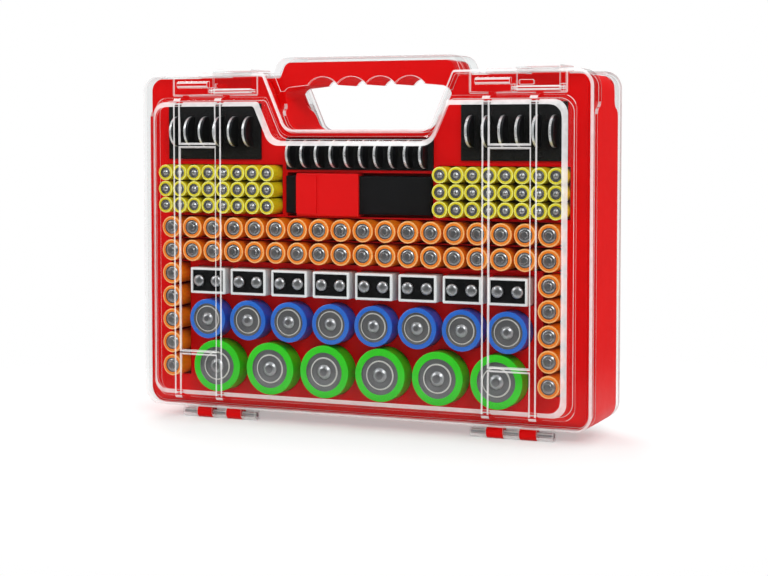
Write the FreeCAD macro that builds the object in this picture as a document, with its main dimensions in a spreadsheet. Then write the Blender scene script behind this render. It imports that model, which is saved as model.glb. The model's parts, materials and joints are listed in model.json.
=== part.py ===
import FreeCAD, Part
import math
import os

# Double-sided carry case for household cells: a red moulded frame with a top handle, a red tray on each
# side, clear covers hinged along the bottom and latched over the top, and the cells that the trays hold.
# Frame of reference: X along the case, front cover towards -Y, Z up from the table under the hinges.

doc = FreeCAD.newDocument("battery_case")
sheet = doc.addObject("Spreadsheet::Sheet", "Sizes")

DRIVING_SIZES = [
    # outline of the case, seen from the front
    ("case_width", 314.6),
    ("shoulder_height", 231.5),
    ("handle_height", 242.2),
    ("corner_radius", 11),
    ("notch_top_width", 132),
    ("notch_floor_width", 100),
    ("notch_floor_height", 194.4),
    ("notch_radius", 8),
    ("handle_top_width", 124),
    ("handle_radius", 9),
    # depth of the frame and of the covers, measured from the middle plane
    ("parting_depth", 23.4),
    ("upper_parting_depth", 15.2),
    ("step_bottom", 202),
    ("step_height", 11),
    ("shelf_depth", 33.5),
    ("dome_depth", 44.7),
    ("handle_depth", 18),
    ("handle_seam", 1.2),
    ("parting_gap", 0.3),
    # clear covers
    ("cover_wall", 2),
    ("dome_width", 294.8),
    ("dome_draft", 3.4),
    ("dome_top", 216),
    ("dome_bottom", 14.6),
    ("dome_notch_top_width", 126.5),
    ("dome_notch_floor_width", 104),
    ("dome_notch_floor", 190.4),
    ("dome_radius", 9),
    ("dome_edge_round", 2.8),
    ("edge_round", 1.2),
    ("rib_width", 5),
    ("rib_rise", 1.8),
    ("rib_inner_place", 93),
    ("rib_outer_place", 123.6),
    ("upper_bar_height", 184),
    ("lower_bar_height", 46.6),
    ("bar_width", 3),
    # red frame
    ("frame_wall", 4.7),
    ("frame_top_drop", 3),
    ("handle_skin", 3.2),
    ("grip_pitch", 20.6),
    ("grip_valley", 223.5),
    ("grip_rise", 5.4),
    ("grip_end_drop", 2),
    # hinges along the bottom
    ("hinge_radius", 4),
    ("pin_radius", 1.5),
    ("pin_play", 0.05),
    ("knuckle_length", 11),
    ("knuckle_gap", 0.3),
    ("hinge_place", 103.5),
    # latches over the top
    ("latch_width", 28),
    ("latch_inner_place", 87.8),
    ("latch_outer_place", 123.2),
    ("latch_plate", 2),
    ("latch_pivot_depth", 35.5),
    ("latch_pivot_height", 219.8),
    ("latch_barrel_radius", 1.7),
    ("latch_stub_radius", 1),
    ("latch_stub_length", 2),
    ("latch_ear", 2.6),
    ("latch_gap", 0.3),
    ("latch_window_width", 9),
    ("latch_window_height", 2.6),
    ("latch_window_place", 3.5),
    ("station_bottom", 216.8),
    ("station_top", 229.5),
    ("station_reach", 45.5),
    ("station_border", 0.8),
    ("station_bar_length", 23),
    ("station_bar_place", 29.5),
    ("station_bar_height", 224.2),
    ("station_bar_radius", 2.4),
    ("catch_depth", 9.4),
    ("catch_thickness", 2.6),
    ("catch_height", 1.6),
    # trays
    ("tray_play", 0.3),
    ("tray_face", 27.5),
    ("tray_plate", 2),
    ("tray_wall", 2),
    ("tray_skirt", 32),
    ("well_floor", 1.2),
    ("well_play", 0.3),
    ("rear_tray_face", 28),
    ("rear_tray_thickness", 6.3),
    ("trough_floor", 1.8),
    ("flange_inset", 3),
    # upright cells in the front tray
    ("cell_top_depth", 41.25),
    ("aa_diameter", 14.2),
    ("aa_length", 50.5),
    ("aa_pitch", 15.5),
    ("aa_row_height", 129.6),
    ("aaa_diameter", 10.5),
    ("aaa_length", 44.5),
    ("aaa_pitch", 10.8),
    ("aaa_row_height", 144.3),
    ("aaa_inner_place", 60.4),
    ("block_width", 26),
    ("block_height", 17.4),
    ("block_length", 46.5),
    ("block_row_height", 94.2),
    ("wide_pitch", 30),
    ("terminal_radius", 4),
    ("terminal_place", 6.4),
    ("terminal_rise", 2),
    ("c_diameter", 26.2),
    ("c_length", 50),
    ("c_row_height", 68.9),
    ("d_diameter", 34.2),
    ("d_length", 61.5),
    ("d_pitch", 39.2),
    ("d_row_height", 37.8),
    ("nub_rise", 1.8),
    # foam blocks and coin cells
    ("foam_face", 29),
    ("foam_thickness", 16),
    ("side_foam_inner", 70.5),
    ("side_foam_outer", 139.5),
    ("side_foam_bottom", 175),
    ("side_foam_top", 211.4),
    ("middle_foam_width", 103),
    ("middle_foam_bottom", 168.4),
    ("middle_foam_top", 188.8),
    ("coin_diameter", 20),
    ("middle_coin_diameter", 18),
    ("coin_thickness", 3.2),
    ("coin_side_pitch", 10.9),
    ("coin_middle_pitch", 10.35),
    ("coin_play", 0.1),
    ("rear_foam_bottom", 191.5),
    ("rear_foam_top", 212),
    ("rear_foam_thickness", 9),
    ("rear_coin_diameter", 16),
    ("rear_coin_pitch", 9.4),
    # cells that lie in the rear tray
    ("rear_long_diameter", 18.5),
    ("rear_long_length", 69),
    ("rear_long_place", 106.6),
    ("rear_long_row", 139.9),
    ("rear_long_pitch", 19.3),
    ("rear_photo_diameter", 17),
    ("rear_photo_length", 34.5),
    ("rear_twin_length", 57),
    ("rear_photo_place", 51.6),
    ("rear_photo_row", 159),
    ("rear_photo_pitch", 17.9),
    ("rear_camera_diameter", 15.4),
    ("rear_camera_length", 30.4),
    ("rear_camera_row", 139.6),
    ("rear_camera_pitch", 36.4),
    ("rear_short_diameter", 14),
    ("rear_short_length", 27.8),
    ("rear_short_row", 119.6),
    ("rear_short_pitch", 31.9),
    ("rear_aa_row", 69.8),
    ("rear_aa_row_pitch", 16.5),
    ("rear_aa_pitch", 58.4),
    ("rear_remote_diameter", 10),
    ("rear_remote_length", 34),
    ("rear_remote_row", 69.4),
    ("rear_remote_pitch", 40.4),
    ("rear_aaa_row", 42),
    ("rear_aaa_row_pitch", 12),
    ("rear_aaa_pitch", 48.2),
    ("rear_slim_diameter", 8.3),
    ("rear_slim_length", 42.5),
    ("rear_slim_row", 21.4),
    ("rear_slim_row_pitch", 9.6),
    # cell tester with its sliding clamp
    ("tester_width", 102),
    ("tester_bottom", 140),
    ("tester_height", 24.4),
    ("tester_face", 30.4),
    ("tester_thickness", 18),
    ("slider_width", 44),
    ("slider_place", 42.5),
    ("slider_wall", 1.5),
    ("slider_play", 0.3),
    ("slider_skirt", 8),
    ("slider_lip", 0.8),
    ("slider_lip_length", 2),
    ("slider_grip_width", 14.5),
    ("slider_grip_rise", 0.8),
    ("slider_travel", 45),
    # screws that join the two trays and the frame
    ("screw_radius", 1.5),
    ("screw_play", 0.05),
    ("screw_head_radius", 2.8),
    ("screw_head_height", 1.6),
    ("screw_length", 16),
    ("boss_radius", 3.2),
    ("screw_side_place", 146.5),
    ("screw_top_height", 219.5),
    ("screw_bottom_height", 20.5),
]
for row, (alias, value) in enumerate(DRIVING_SIZES, 1):
    sheet.set(f"A{row}", alias)
    sheet.set(f"B{row}", str(value))
    sheet.setAlias(f"B{row}", alias)
doc.recompute()

size = {alias: float(sheet.get(alias)) for alias, _ in DRIVING_SIZES}

# Sizes that follow from the driving ones.
case_bottom = 2 * size["hinge_radius"] + size["parting_gap"]
half_width = size["case_width"] / 2
notch_slope = (size["notch_top_width"] - size["notch_floor_width"]) / 2
notch_slope /= size["shoulder_height"] - size["notch_floor_height"]
tray_inset = size["frame_wall"] + size["tray_play"]
frame_top = size["shoulder_height"] - size["frame_top_drop"]
trough_face = size["rear_tray_face"] - size["rear_tray_thickness"] + size["trough_floor"]
OVERLAP = 0.5   # how far a joined form reaches into the form that carries it


# ---- outlines -------------------------------------------------------------------------------------------

def inset_polygon(points, inset):
    """The same closed outline, every side moved inwards by one distance (points run anticlockwise)."""
    sides = []
    for start, end in zip(points, points[1:] + points[:1]):
        length = math.hypot(end[0] - start[0], end[1] - start[1])
        along = ((end[0] - start[0]) / length, (end[1] - start[1]) / length)
        sides.append(((start[0] - along[1] * inset, start[1] + along[0] * inset), along))
    corners = []
    for (base, before), (point, after) in zip(sides[-1:] + sides[:-1], sides):
        cross = before[0] * after[1] - before[1] * after[0]
        gap = (point[0] - base[0], point[1] - base[1])
        step = (gap[0] * after[1] - gap[1] * after[0]) / cross
        corners.append((base[0] + before[0] * step, base[1] + before[1] * step))
    return corners


def rounded(points, radii):
    """Lines and arcs of a closed outline whose corners have the given radii; zero leaves a sharp corner."""
    ends = []
    for index, corner in enumerate(points):
        before = FreeCAD.Vector(*points[index - 1], 0) - FreeCAD.Vector(*corner, 0)
        after = FreeCAD.Vector(*points[(index + 1) % len(points)], 0) - FreeCAD.Vector(*corner, 0)
        half_angle = before.getAngle(after) / 2
        before.normalize()
        after.normalize()
        reach = radii[index] / math.tan(half_angle)
        place = FreeCAD.Vector(*corner, 0)
        bisector = (before + after).normalize()
        bulge = radii[index] / math.sin(half_angle) - radii[index]
        ends.append((place + before * reach, place + bisector * bulge, place + after * reach))
    edges = []
    for index, (arc_start, arc_middle, arc_end) in enumerate(ends):
        if radii[index] > 0:
            edges.append(Part.Arc(arc_start, arc_middle, arc_end))
        next_start = ends[(index + 1) % len(ends)][0]
        if (next_start - arc_end).Length > 1e-6:
            edges.append(Part.LineSegment(arc_end, next_start))
    return edges


def rectangle(left, right, bottom, top, radius=0.0):
    return rounded([(left, bottom), (right, bottom), (right, top), (left, top)], [radius] * 4)


def box_around(middle, width, height, radius=0.0):
    across, up = middle
    return rectangle(across - width / 2, across + width / 2, up - height / 2, up + height / 2, radius)


def circle(middle, radius):
    return [Part.Circle(FreeCAD.Vector(*middle, 0), FreeCAD.Vector(0, 0, 1), radius)]


def body_outline(inset=0.0, top_drop=0.0):
    """Outline of the case body with its notch under the handle."""
    top = size["shoulder_height"] - top_drop
    notch_top = size["notch_top_width"] / 2 - notch_slope * top_drop
    notch_floor = size["notch_floor_width"] / 2
    points = [(-half_width, case_bottom), (half_width, case_bottom), (half_width, top), (notch_top, top),
              (notch_floor, size["notch_floor_height"]), (-notch_floor, size["notch_floor_height"]),
              (-notch_top, top), (-half_width, top)]
    outer = max(size["corner_radius"] - inset, 1.0)
    shoulder = 2.5
    floor = size["notch_radius"] + inset
    return rounded(inset_polygon(points, inset),
                   [outer, outer, outer, shoulder, floor, floor, shoulder, outer])


def dome_outline(inset=0.0):
    """Outline of the raised window of a cover where it leaves the shelf."""
    wide = size["dome_width"] / 2
    notch_top = size["dome_notch_top_width"] / 2
    notch_floor = size["dome_notch_floor_width"] / 2
    points = [(-wide, size["dome_bottom"]), (wide, size["dome_bottom"]), (wide, size["dome_top"]),
              (notch_top, size["dome_top"]), (notch_floor, size["dome_notch_floor"]),
              (-notch_floor, size["dome_notch_floor"]), (-notch_top, size["dome_top"]),
              (-wide, size["dome_top"])]
    outer = size["dome_radius"]
    concave = size["notch_radius"] + 2
    convex = 3.0
    return rounded(inset_polygon(points, inset),
                   [outer, outer, outer, convex, concave, concave, convex, outer])


def case_outline(inset=0.0, top_drop=0.0):
    """Outline of the whole case with its handle, without the finger hole."""
    top = size["shoulder_height"] - top_drop
    handle_foot = size["notch_top_width"] / 2
    handle_top = size["handle_top_width"] / 2
    points = [(-half_width, case_bottom), (half_width, case_bottom), (half_width, top),
              (handle_foot - inset, top), (handle_top - inset, size["handle_height"] - inset),
              (-handle_top + inset, size["handle_height"] - inset), (-handle_foot + inset, top),
              (-half_width, top)]
    outer = size["corner_radius"]
    crown = size["handle_radius"] - inset
    return rounded(points, [outer, outer, outer, 2.0, crown, crown, 2.0, outer])


def handle_outline(inset, foot):
    """Outline of the handle alone, down to a given height."""
    handle_foot = size["notch_top_width"] / 2 - inset
    handle_top = size["handle_top_width"] / 2 - inset
    crown = size["handle_radius"] - inset
    points = [(-handle_foot, foot), (handle_foot, foot), (handle_foot, size["shoulder_height"]),
              (handle_top, size["handle_height"] - inset), (-handle_top, size["handle_height"] - inset),
              (-handle_foot, size["shoulder_height"])]
    return rounded(points, [0, 0, 0.8, crown, crown, 0.8])


def finger_hole():
    """The hole under the grip: notch flanks, notch floor and four finger arches."""
    floor_half = size["notch_floor_width"] / 2
    floor = size["notch_floor_height"]
    arch_end = 2 * size["grip_pitch"]
    shoulder_z = size["grip_valley"] - size["grip_end_drop"]
    flank = floor_half + notch_slope * (shoulder_z - floor)
    open_line = [(arch_end, size["grip_valley"]), (flank, shoulder_z), (floor_half, floor),
                 (-floor_half, floor), (-flank, shoulder_z), (-arch_end, size["grip_valley"])]
    radii = [0, 6.0, size["notch_radius"], size["notch_radius"], 6.0, 0]
    points = open_line[::-1]
    edges = rounded(points, radii[::-1])[:-1]
    for arch in range(4):
        right = arch_end - arch * size["grip_pitch"]
        middle = right - size["grip_pitch"] / 2
        left = right - size["grip_pitch"]
        edges.append(Part.Arc(FreeCAD.Vector(right, size["grip_valley"], 0),
                              FreeCAD.Vector(middle, size["grip_valley"] + size["grip_rise"], 0),
                              FreeCAD.Vector(left, size["grip_valley"], 0)))
    return edges


# ---- features -------------------------------------------------------------------------------------------

def new_body(label, turned=False):
    """A body; one for the rear side is drawn as seen from the rear and then turned half round."""
    body = doc.addObject("PartDesign::Body", label)
    body.Label = label
    if turned:
        body.Placement = FreeCAD.Placement(FreeCAD.Vector(), FreeCAD.Rotation(FreeCAD.Vector(0, 0, 1), 180))
    return body


def add_sketch(body, name, plane, loops, offset):
    """A sketch on one of the body's own planes. Front planes look along Y, side planes along X."""
    sketch = body.newObject("Sketcher::SketchObject", name)
    origin_plane = [item for item in body.Origin.OriginFeatures if item.Role == plane][0]
    sketch.AttachmentSupport = [(origin_plane, "")]
    sketch.MapMode = "FlatFace"
    sketch.setExpression(".AttachmentOffset.Base.z", offset)
    for loop in loops:
        sketch.addGeometry(loop, False)
    return sketch


def extrude(body, kind, name, loops, offset, length, backwards=False, plane="XZ_Plane", middle=False):
    """A pad or pocket. From a front plane a pad grows towards the front and a pocket cuts to the back."""
    sketch = add_sketch(body, name + "_outline", plane, loops, offset)
    feature = body.newObject("PartDesign::" + kind, name)
    feature.Profile = sketch
    feature.Midplane = middle
    feature.Reversed = backwards
    if length is None:
        feature.Type = "ThroughAll"
    else:
        feature.setExpression("Length", length)
    sketch.Visibility = False
    return feature


def loft(body, kind, name, first, first_offset, second, second_offset):
    base = add_sketch(body, name + "_base", "XZ_Plane", [first], first_offset)
    end = add_sketch(body, name + "_end", "XZ_Plane", [second], second_offset)
    feature = body.newObject("PartDesign::" + kind, name)
    feature.Profile = base
    feature.Sections = [end]
    feature.Ruled = True
    return feature


def line(first, second):
    return Part.LineSegment(FreeCAD.Vector(*first, 0), FreeCAD.Vector(*second, 0))


def arc(first, middle, last):
    return Part.Arc(FreeCAD.Vector(*first, 0), FreeCAD.Vector(*middle, 0), FreeCAD.Vector(*last, 0))


def step_side(direction, gap):
    """The S-shaped parting line seen from the side: deep below the step and shallow above it."""
    low = size["step_bottom"]
    high = low + size["step_height"]
    deep = size["parting_depth"] - gap
    shallow = size["upper_parting_depth"] - gap
    turn = 2 * math.atan((deep - shallow) / size["step_height"])
    radius = size["step_height"] / (2 * math.sin(turn))
    rise = radius * math.sin(turn / 2)
    shift = radius * (1 - math.cos(turn / 2))
    start = (direction * deep, low)
    middle = (direction * (deep + shallow) / 2, (low + high) / 2)
    end = (direction * shallow, high)
    lower = arc(start, (direction * (deep - shift), low + rise), middle)
    upper = arc(middle, (direction * (shallow + shift), high - rise), end)
    return [lower, upper], start, end


# ---- red frame ------------------------------------------------------------------------------------------

def hinge_places():
    """Middle of each of the five knuckles of both hinges, with True for a knuckle of the frame."""
    pitch = size["knuckle_length"]
    return [(side * size["hinge_place"] + (number - 2) * pitch, number % 2 == 1)
            for side in (-1, 1) for number in range(5)]


def knuckle_side(axis, turn, gap):
    """Side view of a knuckle with its web, which starts a gap away from the hinge line."""
    radius = size["hinge_radius"]
    foot = case_bottom + 2 * OVERLAP
    edge = axis + turn * radius
    far = axis - turn * radius
    near = axis + turn * gap
    diagonal = radius * math.sqrt(0.5)
    crest = radius + math.sqrt(radius ** 2 - gap ** 2)
    return [line((near, foot), (edge, foot)), line((edge, foot), (edge, radius)),
            arc((edge, radius), (axis, 0), (far, radius)),
            arc((far, radius), (axis - turn * diagonal, radius + diagonal), (near, crest)),
            line((near, crest), (near, foot))]


def add_knuckles(body, directions, for_frame):
    """Every knuckle that one moulding carries, then the pin bores through them."""
    axes = [direction * size["parting_depth"] for direction in directions]
    for number, (place, on_frame) in enumerate(hinge_places()):
        if on_frame == for_frame:
            loops = []
            for direction, axis in zip(directions, axes):
                turn = -direction if for_frame else direction
                loops.append(knuckle_side(axis, turn, size["parting_gap"] if for_frame else 0.0))
            extrude(body, "Pad", f"{body.Name}_knuckle{number}", loops, f"{place}",
                    "Sizes.knuckle_length - Sizes.knuckle_gap", plane="YZ_Plane", middle=True)
    bores = [circle((axis, size["hinge_radius"]), size["pin_radius"] + size["pin_play"]) for axis in axes]
    extrude(body, "Pocket", body.Name + "_pin_bores", bores, "0", "1.2 * Sizes.case_width",
            plane="YZ_Plane", middle=True)


def latch_places():
    return [("left", -size["latch_inner_place"]), ("right", size["latch_outer_place"])]


def make_frame():
    """Ring round both trays with the handle core, catches and hinge knuckles, moulded in one piece."""
    body = new_body("case_frame")
    core = case_outline(size["handle_skin"] + size["parting_gap"], size["frame_top_drop"])
    extrude(body, "Pad", "frame_block", [core, finger_hole()], "0",
            "2 * (Sizes.parting_depth - Sizes.parting_gap)", middle=True)
    extrude(body, "Pocket", "frame_cavity", [body_outline(size["frame_wall"])], "0",
            "4 * Sizes.parting_depth", middle=True)
    above = size["handle_height"] + 10
    step_cuts = []
    for direction in (-1, 1):
        curves, start, end = step_side(direction, size["parting_gap"])
        outside = direction * (size["parting_depth"] + 5)
        step_cuts.append(curves + [line(end, (end[0], above)), line((end[0], above), (outside, above)),
                                   line((outside, above), (outside, start[1])),
                                   line((outside, start[1]), start)])
    extrude(body, "Pocket", "frame_upper_step", step_cuts, "0", "1.2 * Sizes.case_width",
            plane="YZ_Plane", middle=True)
    add_knuckles(body, (-1, 1), True)
    for number, (_, place) in enumerate(latch_places()):
        height = size["catch_height"] + OVERLAP
        width = size["latch_width"] - 4
        level = frame_top + size["catch_height"] - height / 2
        extrude(body, "Pad", f"front_catch{number}", [box_around((place, level), width, height)],
                "Sizes.catch_depth", "Sizes.catch_thickness")
        extrude(body, "Pad", f"rear_catch{number}", [box_around((-place, level), width, height)],
                "-Sizes.catch_depth - Sizes.catch_thickness", "Sizes.catch_thickness")
    return body


# ---- clear covers ---------------------------------------------------------------------------------------

def handle_half_outline():
    """Clear half of the handle with the strips of shoulder and notch flank that carry it."""
    wall = size["cover_wall"]
    top_half = size["notch_top_width"] / 2
    crown_half = size["handle_top_width"] / 2
    top = size["shoulder_height"]
    foot = size["grip_valley"] - 2 * size["grip_end_drop"]
    foot_half = top_half - notch_slope * (top - foot) + wall
    crown = size["handle_radius"]
    points = [(-foot_half, foot), (foot_half, foot), (top_half + wall, top), (top_half, top),
              (crown_half, size["handle_height"]), (-crown_half, size["handle_height"]),
              (-top_half, top), (-top_half - wall, top)]
    return rounded(points, [0, 0, 0, 2.0, crown, crown, 2.0, 0])


def rib_side():
    """Side view of one rib: a strap over the top, the face and the bottom of the window."""
    rise = size["rib_rise"]
    sunk = size["cover_wall"] / 2
    shelf = -size["shelf_depth"] + OVERLAP
    face = -size["dome_depth"]
    draft = size["dome_draft"]
    top = size["dome_top"]
    bottom = size["dome_bottom"]
    points = [(shelf, bottom - rise), (shelf, bottom + sunk), (face + sunk, bottom + draft + sunk),
              (face + sunk, top - draft - sunk), (shelf, top - sunk), (shelf, top + rise),
              (face - rise, top + rise - draft), (face - rise, bottom - rise + draft)]
    return rounded(points, [0, 0, 0, 0, 0, 0, 3, 3])


def add_latch_stations(body, name):
    """Raised border round each latch, open at the top, and the round bar beside the latch."""
    border = size["station_border"]
    low = size["station_bottom"]
    high = size["station_top"]
    right = size["latch_width"] / 2 + size["latch_ear"] + 4 * size["latch_gap"]
    for number, (_, place) in enumerate(latch_places()):
        start = place - size["station_reach"]
        end = place + right
        points = [(start, low), (end, low), (end, high), (end - border, high), (end - border, low + border),
                  (start + border, low + border), (start + border, high), (start, high)]
        extrude(body, "Pad", f"{name}latch_border{number}", [rounded(points, [1, 1] + [0] * 6)],
                f"Sizes.shelf_depth - {OVERLAP}", f"Sizes.station_border + {OVERLAP}")
        bar = circle((-size["shelf_depth"] - size["station_bar_radius"] / 2, size["station_bar_height"]),
                     size["station_bar_radius"])
        extrude(body, "Pad", f"{name}latch_bar{number}", [bar], f"{place - size['station_bar_place']}",
                "Sizes.station_bar_length", plane="YZ_Plane", middle=True)


def make_cover(label, turned):
    """Clear shell: skirt, shelf, raised window, handle half, ribs, hinge knuckles and latch ears."""
    body = new_body(label, turned)
    name = label.split("_")[0] + "_"
    wall = size["cover_wall"]
    draft = size["dome_draft"]
    soft = size["edge_round"]
    extrude(body, "Pad", name + "skirt", [body_outline()], "Sizes.upper_parting_depth",
            "Sizes.shelf_depth - Sizes.edge_round - Sizes.upper_parting_depth")
    loft(body, "AdditiveLoft", name + "skirt_edge", body_outline(), "Sizes.shelf_depth - Sizes.edge_round",
         body_outline(soft), "Sizes.shelf_depth")
    loft(body, "AdditiveLoft", name + "dome", dome_outline(), "Sizes.shelf_depth - Sizes.edge_round",
         dome_outline(draft), "Sizes.dome_depth - Sizes.dome_edge_round")
    loft(body, "AdditiveLoft", name + "dome_edge", dome_outline(draft),
         "Sizes.dome_depth - Sizes.dome_edge_round", dome_outline(draft + size["dome_edge_round"]),
         "Sizes.dome_depth")
    extrude(body, "Pocket", name + "skirt_inside", [body_outline(wall)],
            "Sizes.shelf_depth - Sizes.cover_wall", "Sizes.shelf_depth")
    loft(body, "SubtractiveLoft", name + "dome_inside", dome_outline(wall),
         "Sizes.shelf_depth - 2 * Sizes.cover_wall", dome_outline(draft + wall + soft / 2),
         "Sizes.dome_depth - Sizes.cover_wall")
    plate = "Sizes.upper_parting_depth + Sizes.parting_gap"
    extrude(body, "Pad", name + "handle_plate", [handle_half_outline()], plate,
            f"Sizes.handle_depth - ({plate})")
    low = frame_top + size["parting_gap"]
    extrude(body, "Pad", name + "handle_skirt", [handle_outline(0.0, low)], "Sizes.handle_seam",
            f"{plate} - Sizes.handle_seam + {OVERLAP}")
    extrude(body, "Pocket", name + "handle_inside", [handle_outline(size["handle_skin"], low - 2)],
            plate, plate)
    extrude(body, "Pocket", name + "finger_hole", [finger_hole()], "2 * Sizes.handle_depth",
            "2 * Sizes.handle_depth")
    curves, start, end = step_side(-1, 0.0)
    clear = size["parting_depth"]
    step_cut = curves + [line(end, (clear, end[1])), line((clear, end[1]), (clear, -clear)),
                         line((clear, -clear), (start[0], -clear)), line((start[0], -clear), start)]
    extrude(body, "Pocket", name + "lower_step", [step_cut], "0", "1.2 * Sizes.case_width",
            plane="YZ_Plane", middle=True)
    for side in (-1, 1):
        inner = side * size["rib_inner_place"]
        outer = side * size["rib_outer_place"]
        for place in (inner, outer):
            extrude(body, "Pad", f"{name}rib_{'left' if side < 0 else 'right'}{int(abs(place))}",
                    [rib_side()], f"{place}", "Sizes.rib_width", plane="YZ_Plane", middle=True)
        for bar in ("upper", "lower"):
            middle = ((inner + outer) / 2, size[bar + "_bar_height"])
            extrude(body, "Pad", f"{name}{bar}_bar_{'left' if side < 0 else 'right'}",
                    [box_around(middle, abs(outer - inner), size["bar_width"])],
                    f"Sizes.dome_depth - {OVERLAP}", f"Sizes.rib_rise + {OVERLAP}")
    ear_level = size["latch_pivot_height"]
    ear_half = size["latch_barrel_radius"] + 0.6
    add_latch_stations(body, name)
    for number, (_, place) in enumerate(latch_places()):
        reach = size["latch_width"] / 2 + size["latch_gap"] + size["latch_ear"] / 2
        ears = [box_around((place + side * reach, ear_level), size["latch_ear"], 2 * ear_half)
                for side in (-1, 1)]
        extrude(body, "Pad", f"{name}latch_ears{number}", ears, f"Sizes.shelf_depth - {OVERLAP}",
                f"Sizes.latch_pivot_depth - Sizes.shelf_depth + {OVERLAP + ear_half}")
    extrude(body, "Pocket", name + "latch_bores",
            [circle((-size["latch_pivot_depth"], ear_level), size["latch_stub_radius"] + size["pin_play"])],
            "0", "1.2 * Sizes.case_width", plane="YZ_Plane", middle=True)
    add_knuckles(body, (-1,), False)
    return body


def make_latch(label, place, turned):
    """Clear L-shaped latch: barrel and flap before the shelf, plate over the rim, lip behind the catch."""
    body = new_body(label, turned)
    half = size["latch_plate"] / 2
    axis = -size["latch_pivot_depth"]
    level = size["latch_pivot_height"]
    under = size["shoulder_height"] + size["latch_gap"]
    top = under + size["latch_plate"]
    lip_front = -size["catch_depth"] + size["latch_gap"]
    lip_back = lip_front + size["latch_plate"]
    lip_low = frame_top + size["catch_height"] + size["latch_gap"]
    points = [(axis - half, level), (axis + half, level), (axis + half, under), (lip_front, under),
              (lip_front, lip_low), (lip_back, lip_low), (lip_back, top), (axis - half, top)]
    extrude(body, "Pad", label + "_arm", [rounded(points, [0, 0, 0, 0, 0, 0, 0.8, 1.2])], f"{place}",
            "Sizes.latch_width", plane="YZ_Plane", middle=True)
    extrude(body, "Pad", label + "_barrel", [circle((axis, level), size["latch_barrel_radius"])],
            f"{place}", "Sizes.latch_width", plane="YZ_Plane", middle=True)
    extrude(body, "Pad", label + "_stubs", [circle((axis, level), size["latch_stub_radius"])], f"{place}",
            "Sizes.latch_width + 2 * (Sizes.latch_gap + Sizes.latch_stub_length)", plane="YZ_Plane",
            middle=True)
    window_place = place - size["latch_width"] / 2 + size["latch_window_width"] / 2 + 2
    window = box_around((window_place, level + size["latch_window_place"]),
                        size["latch_window_width"], size["latch_window_height"], 0.8)
    extrude(body, "Pocket", label + "_window", [window], f"Sizes.latch_pivot_depth + {half + OVERLAP}",
            f"Sizes.latch_plate + {2 * OVERLAP}")
    return body


# ---- red trays ------------------------------------------------------------------------------------------

def spread(count, pitch, middle=0.0):
    return [middle + (number - (count - 1) / 2) * pitch for number in range(count)]


def well(diameter):
    return diameter + 2 * size["well_play"]


def aa_places():
    """Two rows across the case, carried on downwards by a column at each end."""
    pitch = size["aa_pitch"]
    across = spread(18, pitch)
    rows = [size["aa_row_height"] - row * pitch for row in range(7)]
    places = [(x, z) for z in rows[:2] for x in across]
    return places + [(x, z) for z in rows[2:] for x in (across[0], across[-1])]


def aaa_places():
    pitch = size["aaa_pitch"]
    return [(side * (size["aaa_inner_place"] + column * pitch), size["aaa_row_height"] + row * pitch)
            for side in (-1, 1) for row in range(3) for column in range(8)]


def block_places():
    return [(x, size["block_row_height"]) for x in spread(8, size["wide_pitch"])]


def c_places():
    return [(x, size["c_row_height"]) for x in spread(8, size["wide_pitch"])]


def d_places():
    return [(x, size["d_row_height"]) for x in spread(6, size["d_pitch"])]


def side_foam_box(play=0.0):
    return (size["side_foam_inner"] - play, size["side_foam_outer"] + play,
            size["side_foam_bottom"] - play, size["side_foam_top"] + play)


def mirrored_boxes(left, right, bottom, top):
    return [rectangle(left, right, bottom, top), rectangle(-right, -left, bottom, top)]


def middle_foam():
    half = size["middle_foam_width"] / 2
    return rectangle(-half, half, size["middle_foam_bottom"], size["middle_foam_top"])


def middle_pocket(play):
    """Pocket of the middle foam, open at the top where the tray ends under the notch."""
    half = size["middle_foam_width"] / 2 + play
    return rectangle(-half, half, size["middle_foam_bottom"] - play, size["notch_floor_height"] - tray_inset)


def tester_bay(wall=0.0):
    half = size["tester_width"] / 2 + size["slider_play"] + wall
    margin = size["slider_wall"] + 2 * size["slider_play"] + wall
    return rectangle(-half, half, size["tester_bottom"] - margin,
                     size["tester_bottom"] + size["tester_height"] + margin)


def screw_places():
    side = size["screw_side_place"]
    return [(x, z) for x in (-side, side) for z in (size["screw_bottom_height"], size["screw_top_height"])]


def add_flange(body):
    """Rim of a tray that laps over the face of the frame."""
    loops = [body_outline(size["flange_inset"]), body_outline(tray_inset + OVERLAP)]
    extrude(body, "Pad", body.Name + "_flange", loops, "Sizes.parting_depth - Sizes.parting_gap",
            "Sizes.tray_face - Sizes.tray_plate + Sizes.parting_gap - Sizes.parting_depth")


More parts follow.
